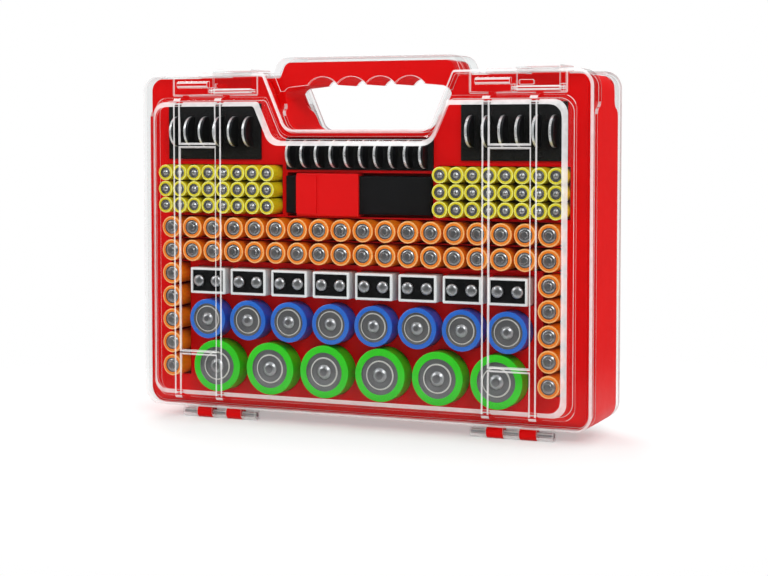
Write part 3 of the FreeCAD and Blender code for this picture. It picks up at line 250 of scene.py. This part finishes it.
# lit and shaded copies of the coins' steel: painted highlight and painted shade
coin_painted_highlight_steel = plated_steel("nickel_plated_coin_wall_painted_highlight", "D6D7D9", "EEEEEF", roughness=0.28, metallic=0.5)
coin_painted_shade_steel = plated_steel("nickel_plated_coin_face_painted_shade", "26272A", "36373A", roughness=0.4)
zinc_steel = plated_steel("zinc_plated_steel_turned", "A6A8AC", "C2C4C8", roughness=0.32)
sleeves = {
    "orange": foil_sleeve("foil_sleeve_orange", "F07604", "FA8A12"),
    # each fold sleeve is a lighter copy of its sleeve: a painted highlight on the ring of sleeve folded over
    # the cell's end
    "orange_fold": foil_sleeve("foil_sleeve_orange_fold_painted_highlight", "FFB060", "FFC07C"),
    "yellow": foil_sleeve("foil_sleeve_yellow", "DCC808", "ECDC18"),
    "yellow_fold": foil_sleeve("foil_sleeve_yellow_fold_painted_highlight", "EFE85E", "F5EF7E"),
    "blue": foil_sleeve("foil_sleeve_blue", "0A4CB2", "165CC6"),
    "blue_fold": foil_sleeve("foil_sleeve_blue_fold_painted_highlight", "1A5EC2", "2A72D4"),
    "green": foil_sleeve("foil_sleeve_bright_green", "1CB408", "28C412"),
    "green_fold": foil_sleeve("foil_sleeve_bright_green_fold_painted_highlight", "28C610", "38D41E"),
    # lighter copy of the jacket's pale grey: a painted highlight on the 9V's folded lip
    "lip": foil_sleeve("metal_jacket_folded_lip_painted_highlight", "E6E6E6", "F4F4F4"),
    "grey": foil_sleeve("metal_jacket_pale_grey", "B4B5B7", "CACBCC"),
    "light_green": foil_sleeve("foil_sleeve_light_green", "62B828", "78CC3A"),
    "mid_blue": foil_sleeve("foil_sleeve_mid_blue", "1E62E0", "3278F0"),
    "dark_green": foil_sleeve("foil_sleeve_dark_green", "0E8C2A", "1CA43A"),
    "cyan": foil_sleeve("foil_sleeve_cyan", "18B8CA", "34CEDC"),
    "royal_blue": foil_sleeve("foil_sleeve_royal_blue", "1C3CD0", "2C50E6"),
    "leaf_green": foil_sleeve("foil_sleeve_leaf_green", "2EA022", "40B630"),
}


# ---- helpers for pieces ---------------------------------------------------------------------------------

def deselect_all():
    if bpy.context.mode != "OBJECT":
        bpy.ops.object.mode_set(mode="OBJECT")
    bpy.ops.object.select_all(action="DESELECT")


def only(*pieces):
    """Selects these pieces alone and works on the first."""
    deselect_all()
    for piece in pieces:
        piece.select_set(True)
    bpy.context.view_layer.objects.active = pieces[0]


def settle(piece):
    """Puts the piece's place, turn and size into its mesh."""
    only(piece)
    bpy.ops.object.transform_apply(location=True, rotation=True, scale=True)


def clear_selection(mesh):
    for group in (mesh.vertices, mesh.edges, mesh.polygons):
        group.foreach_set("select", [False] * len(group))


def pick_faces(piece, wanted):
    """Selects in edit mode the faces that a test on the polygon accepts."""
    bpy.ops.object.mode_set(mode="OBJECT")
    clear_selection(piece.data)
    for face in piece.data.polygons:
        face.select = bool(wanted(face))
    bpy.ops.object.mode_set(mode="EDIT")
    bpy.ops.mesh.select_mode(type="FACE")


def stepped_end(piece, wanted, steps, direction):
    """Turns an end face into a stepped one: each step narrows it in millimetres, then pushes it."""
    only(piece)
    pick_faces(piece, wanted)
    for narrow, push in steps:
        bpy.ops.mesh.inset(thickness=narrow * MM, use_even_offset=True)
        if push:
            bpy.ops.transform.translate(value=tuple(part * push * MM for part in direction))
    bpy.ops.object.mode_set(mode="OBJECT")


def dress(piece, materials, choose=None):
    """Gives the piece its materials and each face the one that a test picks."""
    piece.data.materials.clear()
    for material in materials:
        piece.data.materials.append(material)
    for face in piece.data.polygons:
        face.material_index = int(choose(face)) if choose else 0


def smooth(piece, degrees=35):
    only(piece)
    bpy.ops.object.shade_smooth_by_angle(angle=math.radians(degrees))


def finish_modifier(piece, kind, settings):
    """Adds a modifier with its settings and applies it."""
    only(piece)
    modifier = piece.modifiers.new(kind.lower(), kind)
    for key, value in settings.items():
        setattr(modifier, key, value)
    bpy.ops.object.modifier_apply(modifier=modifier.name)


def break_edges(piece, width_mm, segments):
    """Rounds every edge whose faces turn by more than 50 degrees."""
    finish_modifier(piece, "BEVEL", {"width": width_mm * MM, "segments": segments,
                                     "limit_method": "ANGLE", "angle_limit": math.radians(50)})


def joined(parts):
    """One piece made of several, under the first one's name."""
    only(*parts)
    if len(parts) > 1:
        bpy.ops.object.join()
    return parts[0]


def repeat(master, name, places):
    """Copies of a piece, each with its own mesh, at places in millimetres, joined into one piece."""
    copies = []
    for x, y, z in places:
        copy = master.copy()
        copy.data = master.data.copy()
        copy.location = (x * MM, y * MM, z * MM)
        bpy.context.scene.collection.objects.link(copy)
        copies.append(copy)
    bpy.data.objects.remove(master)
    piece = joined(copies)
    piece.name = name
    piece.data.name = name
    settle(piece)
    return piece


def stands_for(piece, node, body):
    """The piece moves with a body and takes a CAD node's place, which is hidden."""
    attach(piece, body)
    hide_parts(node)


def spread(count, pitch, middle=0.0):
    """Places at one pitch, spread evenly about a middle."""
    return [middle + (number - (count - 1) / 2) * pitch for number in range(count)]


# ---- mouldings that keep the shape of their CAD nodes ----------------------------------------------------

# Depths are measured from the middle plane of the case, to the front and to the rear alike.
BEAD_DEPTH = 46.2             # only the tops of the ribs and bars stand farther out
SHELF_DEPTH = 33.5            # the shelf that the dome rises from
JOINT_DEPTH = 15.5            # a cover's own edge at the handle's root, where it meets the frame
HANDLE_JOINT = (54, 72)       # how far that edge lies from the middle, left or right
HANDLE_CORNER = (70, 74)      # how far from the middle the handle's root ends on the shelf
HANDLE_LEVEL = 219            # the lowest height of that end
RIB_FLANKS = (-121.1, -95.5, 95.5, 121.1)    # where the bars end on the ribs
RIB_MIDDLES = (93.0, 123.6)   # the middle of each rib, on both sides
RIB_REACH = 3.1               # half the width of a rib, and a little
BEAD_RADIUS = 1.1             # rounding of the ribs' and bars' tops
DOME_RADIUS = 0.6             # rounding where the dome leaves its shelf
SHORTEST_BEAD = 9             # edges up to this length are the beads' ends, which stay sharp
LINE_WIDTH = 0.28             # the pale line, a painted highlight, along every other edge
SHARP_TURN = math.radians(40)
PALE_SLOPE = (0.45, 0.97)     # share of a pale face's normal that points to the front or the rear; pale faces carry a painted highlight


def soften(piece, wanted, width_mm, steps=2, clamped=True, shortest=0.0):
    """Rounds, in material 1, the sharp edges that a test on their faces' normals and their middle accepts; on
    clear pieces material 1 is the painted pale highlight.
    """
    mesh = piece.data
    normals = {}
    for face in mesh.polygons:
        for key in face.edge_keys:
            normals.setdefault(key, []).append(face.normal.copy())
    chosen = []
    for edge in mesh.edges:
        sides = normals.get(edge.key, [])
        start, end = (mesh.vertices[number].co for number in edge.vertices)
        chosen.append(len(sides) == 2 and sides[0].angle(sides[1], 0) > SHARP_TURN
                      and (start - end).length / MM > shortest
                      and bool(wanted(sides, (start + end) / 2 / MM)))
    only(piece)
    clear_selection(mesh)
    mesh.edges.foreach_set("select", chosen)
    bpy.ops.object.mode_set(mode="EDIT")
    bpy.ops.mesh.select_mode(type="EDGE")
    bpy.ops.mesh.bevel(offset=width_mm * MM, segments=steps, affect="EDGES", clamp_overlap=clamped,
                       material=1)
    bpy.ops.object.mode_set(mode="OBJECT")


def pale(face):
    """Where clear plastic gathers light, painted as a pale highlight: its rounded edges and the sloped band
    round the window.
    """
    return PALE_SLOPE[0] < abs(face.normal.y) < PALE_SLOPE[1]


def part_beads(piece):
    """Cuts the joined tops of ribs and bars apart where they meet, and the shelf's ring at its middle."""
    cuts = [(place, BEAD_DEPTH, math.inf) for place in RIB_FLANKS]
    for place, low, high in cuts + [(0, SHELF_DEPTH - 0.2, SHELF_DEPTH + 0.2)]:
        pick_faces(piece, lambda face: low < abs(face.center.y) / MM < high)
        bpy.ops.mesh.bisect(plane_co=(place * MM, 0, 0), plane_no=(1, 0, 0))
        bpy.ops.mesh.mark_seam()
    bpy.ops.object.mode_set(mode="OBJECT")


def on_bead(sides, middle):
    """Edges along the top of a rib or bar."""
    return abs(middle.y) > BEAD_DEPTH and max(abs(normal.y) for normal in sides) > 0.9


def at_dome(sides, middle):
    """Edges where the dome's drafted wall meets the shelf."""
    return (abs(abs(middle.y) - SHELF_DEPTH) < 0.3
            and 0.2 < min(abs(normal.y) for normal in sides) < 0.4)


def takes_line(_sides, middle):
    """Every edge but the ribs' own and those at the handle's root, where short edges crowd."""
    across, depth = abs(middle.x), abs(middle.y)
    if HANDLE_JOINT[0] < across < HANDLE_JOINT[1] and abs(depth - JOINT_DEPTH) < 0.6:
        return False
    if (HANDLE_CORNER[0] < across < HANDLE_CORNER[1] and depth > SHELF_DEPTH - 0.5
            and middle.z > HANDLE_LEVEL):
        return False
    return depth < SHELF_DEPTH - 1 or min(abs(across - place) for place in RIB_MIDDLES) > RIB_REACH


def dress_clear(piece):
    """Clear plastic with edges painted pale as a highlight: rounded beads on ribs and bars, and thin lines
    along the rest.
    """
    dress(piece, [clear_plastic, clear_edges_painted_highlight], pale)
    soften(piece, on_bead, BEAD_RADIUS, steps=3, clamped=False, shortest=SHORTEST_BEAD)
    soften(piece, at_dome, DOME_RADIUS)
    soften(piece, takes_line, LINE_WIDTH, clamped=False)


def refined(node, body, material, bevel_mm=0.0):
    """A merged copy of a CAD node with rounded shading and, where asked, softly broken edges."""
    copy = nodes[node].copy()
    copy.data = copy.data.copy()
    copy.parent = None
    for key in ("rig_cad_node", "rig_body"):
        if key in copy:
            del copy[key]
    bpy.context.scene.collection.objects.link(copy)
    copy.name = node + "_moulding"
    only(copy)
    bpy.ops.object.mode_set(mode="EDIT")
    bpy.ops.mesh.select_all(action="SELECT")
    bpy.ops.mesh.remove_doubles(threshold=0.002 * MM)
    bpy.ops.object.mode_set(mode="OBJECT")
    if "cover" in node:
        part_beads(copy)
    bpy.ops.object.mode_set(mode="EDIT")
    bpy.ops.mesh.select_all(action="SELECT")
    bpy.ops.mesh.dissolve_limited(angle_limit=math.radians(0.5), delimit={"SEAM"})
    bpy.ops.object.mode_set(mode="OBJECT")
    if bevel_mm:
        break_edges(copy, bevel_mm, 2)
    if material is clear_plastic:
        dress_clear(copy)
    else:
        dress(copy, [material])
    smooth(copy, 30)
    finish_modifier(copy, "WEIGHTED_NORMAL", {"keep_sharp": True})    # flat faces stay flat to the eye
    stands_for(copy, node, body)


for name in ("case_frame", "front_tray", "rear_tray"):
    refined(name, "case", red_moulding)
refined("tester_housing", "case", black_moulding, bevel_mm=0.4)
refined("tester_slider", "tester_slider", red_gloss, bevel_mm=0.3)
for side in ("front", "rear"):
    refined(side + "_cover", side + "_cover", clear_plastic)
    for hand in ("left", "right"):
        latch = f"{side}_{hand}_latch"
        refined(latch, latch, clear_plastic)
for name in ("left_foam", "right_foam", "middle_foam", "rear_left_foam", "rear_right_foam"):
    dress(nodes[name], [foam])
for name in ("hinge_pins", "case_screws"):
    dress(nodes[name], [zinc_steel])


# ---- cells that stand in the front tray ------------------------------------------------------------------

CELL_TOP = 41.25    # depth of every contact nub in front of the middle plane
TOWARDS_FRONT = (0, -1, 0)
LYING_BACK = (math.pi / 2, 0, 0)      # turns a cylinder's axis from upright to front and back
LYING_ACROSS = (0, math.pi / 2, 0)    # turns it from upright to left and right

# The end of each kind of cell, from the sleeve's fold over the crimp and the shoulder to the top of the nub,
# as shares of the cell's radius with their levels in millimetres. "fold_from" is the share past which the
# sleeve's end has the fold's lighter colour, a painted highlight, and "bright" says between which shares the
# end is painted bright as a highlight with the lighter rim steel (3) or nub steel (4) instead of can steel.
SMALL_FOLD = [(0.88, 0.35), (0.69, 0.3), (0.66, -0.2), (0.62, -0.2)]
AA_CELL = {
    "sides": 20, "diameter": 14.2, "length": 50.5,
    "sleeve": "orange", "fold": "orange_fold", "fold_from": 0.879,
    "end": SMALL_FOLD + [(0.53, 0.45), (0.47, 0.6), (0.38, 0.6), (0.36, 1.2), (0.28, 1.7), (0.14, 1.8)],
    "bright": [(4, 0.4, 0.61)]}
AAA_CELL = {
    "sides": 16, "diameter": 10.5, "length": 44.5,
    "sleeve": "yellow", "fold": "yellow_fold", "fold_from": 0.879,
    "end": SMALL_FOLD + [(0.56, 0.1), (0.44, 0.1), (0.38, 0.1), (0.2, 1.1), (0.1, 1.3)],
    "bright": [(4, 0.56, 0.62), (4, 0.0, 0.37)]}
C_CELL = {
    "sides": 36, "diameter": 26.2, "length": 50,
    "sleeve": "blue", "fold": "blue_fold", "fold_from": 0,
    "end": [(0.93, 0.4), (0.78, 0.4), (0.75, -0.3), (0.665, -0.2), (0.65, 0.25), (0.61, 0.25), (0.595, -0.2),
            (0.33, -0.1), (0.32, 0.3), (0.19, 1.65), (0.12, 1.8)],
    "bright": [(3, 0.6, 0.66), (4, 0.15, 0.32)]}
D_CELL = {
    "sides": 44, "diameter": 34.2, "length": 61.5,
    "sleeve": "green", "fold": "green_fold", "fold_from": 0,
    "end": [(0.94, 0.4), (0.74, 0.4), (0.72, -0.3), (0.56, -0.2), (0.545, 0.2), (0.505, 0.2), (0.49, -0.2),
            (0.29, -0.1), (0.28, 0.3), (0.16, 1.65), (0.1, 1.8)],
    "bright": [(3, 0.5, 0.55), (4, 0.13, 0.28)]}


def end_steps(radius, profile):
    """How far each point of a cell's end narrows it and then pushes it, in millimetres."""
    steps = []
    share, level = 1.0, 0.0
    for next_share, next_level in profile:
        steps.append((radius * (share - next_share), next_level - level))
        share, level = next_share, next_level
    return steps


def round_cell(kind):
    """Steel can in a printed sleeve, its contact end towards the front and stepped as the drawn cap is."""
    radius = kind["diameter"] / 2
    rise = kind["end"][-1][1]
    top, length = CELL_TOP - rise, kind["length"] - rise
    bpy.ops.mesh.primitive_cylinder_add(vertices=kind["sides"], radius=radius * MM, depth=length * MM,
                                        rotation=LYING_BACK, location=(0, (length / 2 - top) * MM, 0))
    cell = bpy.context.active_object
    settle(cell)
    stepped_end(cell, lambda face: face.normal.y < -0.9, end_steps(radius, kind["end"]), TOWARDS_FRONT)

    def choose(face):
        share = math.hypot(face.center.x, face.center.z) / MM / radius
        if face.center.y / MM > 1 - top:    # the sleeve's side and its far end
            return 0
        # the end's outer ring takes the fold's lighter colour, a painted highlight, and the bright bands take
        # lighter steel as painted highlights
        if share > kind["end"][1][0]:
            return 1 if share > kind["fold_from"] else 0
        return next((place for place, low, high in kind["bright"] if low < share < high), 2)

    dress(cell, [sleeves[kind["sleeve"]], sleeves[kind["fold"]], can_steel, rim_steel_painted_highlight, nub_steel_painted_highlight], choose)
    smooth(cell)
    return cell


def standing(node, kind, places):
    """All cells of a node in the front tray, at places across and up."""
    deselect_all()
    piece = repeat(round_cell(kind), node + "_sleeved", [(x, 0, z) for x, z in places])
    stands_for(piece, node, "case")


AA_PITCH = 15.5
AAA_PITCH = 10.8

aa_across = spread(18, AA_PITCH)
aa_rows = [129.6 - AA_PITCH * row for row in range(7)]
aa_places = [(x, z) for z in aa_rows[:2] for x in aa_across]
aa_places += [(x, z) for z in aa_rows[2:] for x in (aa_across[0], aa_across[-1])]
aaa_places = [(side * (60.4 + AAA_PITCH * column), 144.3 + AAA_PITCH * row)
              for side in (-1, 1) for row in range(3) for column in range(8)]
c_and_nine_volt_across = spread(8, 30)
standing("aa_cells", AA_CELL, aa_places)
standing("aaa_cells", AAA_CELL, aaa_places)
standing("c_cells", C_CELL, [(x, 68.9) for x in c_and_nine_volt_across])
standing("d_cells", D_CELL, [(x, 37.8) for x in spread(6, 39.2)])


NINE_VOLT_WIDTH, NINE_VOLT_THICKNESS, NINE_VOLT_LENGTH = 26, 17.4, 44.5
TERMINAL_RISE = 2              # how far the stud and the socket stand in front of the deck
TERMINAL_PLACES = (-6.4, 6.4)
BROAD_FACE = 1e-4              # square metres: only the jacket's own sides and its deck are larger


def nine_volt_cell():
    """Grey metal jacket folded round a black deck with a stud and a socket."""
    deck = CELL_TOP - TERMINAL_RISE
    bpy.ops.mesh.primitive_cube_add(size=1, location=(0, (NINE_VOLT_LENGTH / 2 - deck) * MM, 0))
    jacket = bpy.context.active_object
    jacket.scale = (NINE_VOLT_WIDTH * MM, NINE_VOLT_LENGTH * MM, NINE_VOLT_THICKNESS * MM)
    settle(jacket)
    break_edges(jacket, 1.0, 3)
    stepped_end(jacket, lambda face: face.normal.y < -0.99 and face.area > BROAD_FACE,
                [(0.5, 0.0), (0.25, -0.7)], TOWARDS_FRONT)
    # the folded lip round the deck takes the lighter copy of the jacket, a painted highlight
    dress(jacket, [sleeves["grey"], black_deck, sleeves["lip"]],
          lambda face: 0 if face.center.y / MM > 1 - deck else 1 if face.area > BROAD_FACE else 2)
    smooth(jacket)
    parts = [jacket]
    for place in TERMINAL_PLACES:
        bpy.ops.mesh.primitive_cylinder_add(vertices=18, radius=3.9 * MM, depth=1.2 * MM, rotation=LYING_BACK,
                                            location=(place * MM, (0.3 - deck) * MM, 0))
        terminal = bpy.context.active_object
        settle(terminal)
        stepped_end(terminal, lambda face: face.normal.y < -0.9,
                    [(0.35, 0.55), (0.75, 0.55), (1.0, 0.35), (1.0, 0.15)], TOWARDS_FRONT)
        dress(terminal, [nub_steel_painted_highlight])
        smooth(terminal, 60)
        parts.append(terminal)
    return joined(parts)


deselect_all()
nine_volts = repeat(nine_volt_cell(), "nine_volt_cells_jacketed",
                    [(x, 0, 94.2) for x in c_and_nine_volt_across])
stands_for(nine_volts, "nine_volt_cells", "case")


# ---- coin cells -------------------------------------------------------------------------------------------

COIN_THICKNESS = 3.2
PAINTED_SHADE_FROM = 0.1    # where across the coin's rim its painted highlight ends and its painted shade begins


def coin_row(name, diameter, depth, height, places, to_rear=False):
    """Coin cells on edge: can rim, crimped step and flat top; part of the rim is painted light as a
    highlight, and the rest of it and the flat faces are painted dark as shade.
    """
    deselect_all()
    bpy.ops.mesh.primitive_cylinder_add(vertices=36, radius=diameter / 2 * MM, depth=COIN_THICKNESS * MM,
                                        rotation=LYING_ACROSS, location=(0, -depth * MM, height * MM))
    coin = bpy.context.active_object
    settle(coin)
    pick_faces(coin, lambda side: abs(side.normal.x) < 0.1)
    bpy.ops.mesh.bisect(plane_co=(PAINTED_SHADE_FROM * MM, 0, 0), plane_no=(1, 0, 0))
    bpy.ops.object.mode_set(mode="OBJECT")
    stepped_end(coin, lambda side: side.normal.x < -0.9, [(0.35, 0.0), (0.5, -0.45), (0.6, 0.0), (0.3, 0.3)],
                (-1, 0, 0))
    break_edges(coin, 0.6, 3)
    # painted highlight on the rim up to the cut, painted shade past it and on the flat faces
    dress(coin, [coin_painted_highlight_steel, coin_painted_shade_steel],
          lambda side: abs(side.normal.x) > 0.8 or side.center.x / MM > PAINTED_SHADE_FROM)
    smooth(coin)
    piece = repeat(coin, name + "s", [(place, 0, 0) for place in places])
    if to_rear:
        piece.rotation_euler = (0, 0, math.pi)
        settle(piece)
    stands_for(piece, name + "_cells", "case")


coin_row("side_coin", 20, 29, 193.2, spread(6, 10.9, -105) + spread(6, 10.9, 105))
coin_row("middle_coin", 18, 29, 178.6, spread(10, 10.35))
coin_row("rear_coin", 16, 32.5, 201.75, spread(7, 9.4, -105) + spread(7, 9.4, 105), to_rear=True)


# ---- cells that lie in the rear tray ----------------------------------------------------------------------

TROUGH_DEPTH = 23.5    # of the troughs' bottom behind the middle plane
NUB_RISE = 1.2         # how far the contact nub stands past the sleeve


def lying_cell(diameter, length, sleeve):
    """Sleeved can on its side with its contact end to the right, seen from the rear."""
    radius = diameter / 2
    axis = -(TROUGH_DEPTH + radius)
    bpy.ops.mesh.primitive_cylinder_add(vertices=18, radius=radius * MM,
                                        depth=(length - NUB_RISE) * MM, rotation=LYING_ACROSS,
                                        location=(-NUB_RISE / 2 * MM, axis * MM, 0))
    cell = bpy.context.active_object
    settle(cell)
    stepped_end(cell, lambda face: face.normal.x > 0.9,
                [(0.1 * radius, 0.0), (0.15 * radius, -0.3), (0.4 * radius, 0.1), (0.05 * radius, 1.4)],
                (1, 0, 0))
    stepped_end(cell, lambda face: face.normal.x < -0.9,
                [(0.1 * radius, 0.0), (0.12 * radius, -0.3), (0.2 * radius, 0.0)], (-1, 0, 0))

    def choose(face):
        share = math.hypot(face.center.y - axis * MM, face.center.z) / MM / radius
        return 1 if share < 0.88 and abs(face.normal.x) > 0.3 or share < 0.6 else 0

    dress(cell, [sleeve, rim_steel_painted_highlight], choose)
    smooth(cell)
    return cell


def lying(node, sleeve, groups):
    """One piece for a node: groups give the cell's diameter, length, places across and row heights."""
    parts = []
    for diameter, length, across, heights in groups:
        deselect_all()
        cell = lying_cell(diameter, length, sleeves[sleeve])
        parts.append(repeat(cell, node + "_sleeved", [(x, 0, z) for z in heights for x in across]))
    piece = joined(parts)
    piece.rotation_euler = (0, 0, math.pi)    # built facing the front as the others are, then turned
    settle(piece)
    stands_for(piece, node, "case")


aa_columns = spread(5, 58.4)
six_columns = spread(6, 48.2)
photo_rows = [159, 176.9]
lying("rear_long_cells", "light_green",
      [(18.5, 69, [-106.6, 106.6], [139.9, 159.2, 178.5])])
lying("rear_photo_cells", "mid_blue",
      [(17, 34.5, [-51.6, 51.6], photo_rows), (17, 57, [0], photo_rows)])
lying("rear_camera_cells", "dark_green", [(15.4, 30.4, spread(4, 36.4), [139.6])])
lying("rear_short_cells", "yellow", [(14, 27.8, spread(9, 31.9), [119.6])])
lying("rear_aa_cells", "orange",
      [(14.2, 50.5, [aa_columns[0], aa_columns[-1]], [69.8, 86.3, 102.8]),
       (14.2, 50.5, aa_columns[1:-1], [86.3, 102.8])])
lying("rear_remote_cells", "cyan", [(10, 34, spread(4, 40.4), [69.4])])
lying("rear_aaa_cells", "royal_blue", [(10.5, 44.5, six_columns, [42, 54])])
lying("rear_slim_cells", "leaf_green", [(8.3, 42.5, six_columns, [21.4, 31.0])])


# ---- floor, light and camera ------------------------------------------------------------------------------

DARK_ROOM = 0.1      # light from the unlit ends of the room, which clear walls mirror
ROOM_LIGHT = 0.55    # plain light from all round
FADE = (0.19, 0.42)         # metres from the middle over which the floor turns into the backdrop
FLOOR_END = (0.15, 0.6)     # metres in front and behind over which the mirrored floor goes unlit
ROOM_END = (0.4, 0.8)       # the same for the room, as a share of the direction
CASE_MIDDLE = (0, 0, 0.12)
LAMP_SHAPE = 0.7            # a lamp's height as a share of its width


def combined(tree, operation, first, second):
    return add_node(tree, "ShaderNodeMath", {"operation": operation}, {0: first, 1: second}).outputs[0]


def backdrop_rays(tree):
    """Rays that show the white backdrop, and the reflected ones among them."""
    path = add_node(tree, "ShaderNodeLightPath").outputs
    seen = combined(tree, "MAXIMUM", path["Is Camera Ray"], path["Is Transmission Ray"])
    return combined(tree, "MAXIMUM", seen, path["Is Glossy Ray"]), path["Is Glossy Ray"]


def eased(tree, value, span, low=0.0):
    """Rises softly from low to 1 while the value passes a span."""
    return add_node(tree, "ShaderNodeMapRange",
                    {"interpolation_type": "SMOOTHSTEP", "From Min": span[0], "From Max": span[1],
                     "To Min": low}, {"Value": value}).outputs[0]


def dark_end(tree, vector, span, mirrored):
    """Share of reflected rays that meet the unlit ends of the room, in front and behind."""
    parts = add_node(tree, "ShaderNodeSeparateXYZ", None, {0: vector})
    reach = add_node(tree, "ShaderNodeMath", {"operation": "ABSOLUTE"}, {0: parts.outputs["Y"]})
    return combined(tree, "MULTIPLY", eased(tree, reach.outputs[0], span), mirrored)


def studio_floor():
    """Pale translucent floor: it takes the shadow, fades out a little way off and hides no opened cover."""
    deselect_all()
    bpy.ops.mesh.primitive_plane_add(size=6, location=(0, 0, 0))
    floor = bpy.context.active_object
    floor.name = "studio_floor"
    material, tree = new_material("paper_white_matt")
    place = add_node(tree, "ShaderNodeTexCoord").outputs["Object"]
    reach = add_node(tree, "ShaderNodeVectorMath", {"operation": "LENGTH"}, {0: place}).outputs["Value"]
    seen, mirrored = backdrop_rays(tree)
    paper = add_node(tree, "ShaderNodeBsdfDiffuse", {"Color": linear("F6F6F6")})
    backdrop = add_node(tree, "ShaderNodeBsdfTransparent", {"Color": WHITE})
    unlit = add_node(tree, "ShaderNodeEmission", {"Color": WHITE, "Strength": DARK_ROOM})
    lit = mixed_shader(tree, combined(tree, "MULTIPLY", eased(tree, reach, FADE, 0.4), seen), paper, backdrop)
    floor_shader = mixed_shader(tree, dark_end(tree, place, FLOOR_END, mirrored), lit, unlit)
    finish_surface(tree, floor_shader.outputs[0])
    floor.data.materials.append(material)


def studio_world():
    """Plain light from all round and a white backdrop, with unlit ends of the room in reflections."""
    world = bpy.data.worlds.new("studio")
    bpy.context.scene.world = world
    world.use_nodes = True
    tree = world.node_tree
    tree.nodes.clear()
    seen, mirrored = backdrop_rays(tree)
    room = add_node(tree, "ShaderNodeBackground", {"Color": WHITE, "Strength": ROOM_LIGHT})
    backdrop = add_node(tree, "ShaderNodeBackground", {"Color": WHITE, "Strength": 1.0})
    unlit = add_node(tree, "ShaderNodeBackground", {"Color": WHITE, "Strength": DARK_ROOM})
    direction = add_node(tree, "ShaderNodeTexCoord").outputs["Generated"]
    lit = mixed_shader(tree, seen, room, backdrop)
    light = mixed_shader(tree, dark_end(tree, direction, ROOM_END, mirrored), lit, unlit)
    add_node(tree, "ShaderNodeOutputWorld", None, {"Surface": light.outputs[0]})


def soft_box(name, place, target, width, power):
    """A wide, low area lamp that is turned to its target."""
    lamp = bpy.data.lights.new(name, "AREA")
    lamp.shape = "RECTANGLE"
    lamp.size = width
    lamp.size_y = width * LAMP_SHAPE
    lamp.energy = power
    holder = bpy.data.objects.new(name, lamp)
    bpy.context.scene.collection.objects.link(holder)
    holder.location = place
    aim = Vector(target) - Vector(place)
    holder.rotation_euler = aim.to_track_quat("-Z", "Y").to_euler()


def main_camera():
    """Long lens at table height, a little to the right of the front and looking slightly down."""
    data = bpy.data.cameras.new("main_camera")
    data.sensor_width = 36
    data.lens = 79.31
    data.shift_y = -0.0755
    data.clip_end = 50
    camera = bpy.data.objects.new("main_camera", data)
    bpy.context.scene.collection.objects.link(camera)
    camera.location = (0.441, -1.02525, 0.1906)
    camera.rotation_euler = (math.radians(90 - 3.2), 0, math.radians(23))
    bpy.context.scene.camera = camera


studio_floor()
studio_world()
soft_box("key_box", (1.3, -1.5, 1.6), CASE_MIDDLE, width=1.1, power=23)
soft_box("fill_box", (-1.5, -1.0, 1.2), CASE_MIDDLE, width=1.0, power=10)
soft_box("top_box", (0.1, 0.2, 1.7), (0, 0, 0.1), width=1.2, power=10)
soft_box("rear_box", (-1.1, 1.6, 1.5), CASE_MIDDLE, width=1.1, power=22)
main_camera()
bpy.context.scene.view_settings.view_transform = "Standard"
bpy.context.scene.cycles.transparent_max_bounces = 32    # two clear covers can stand in line
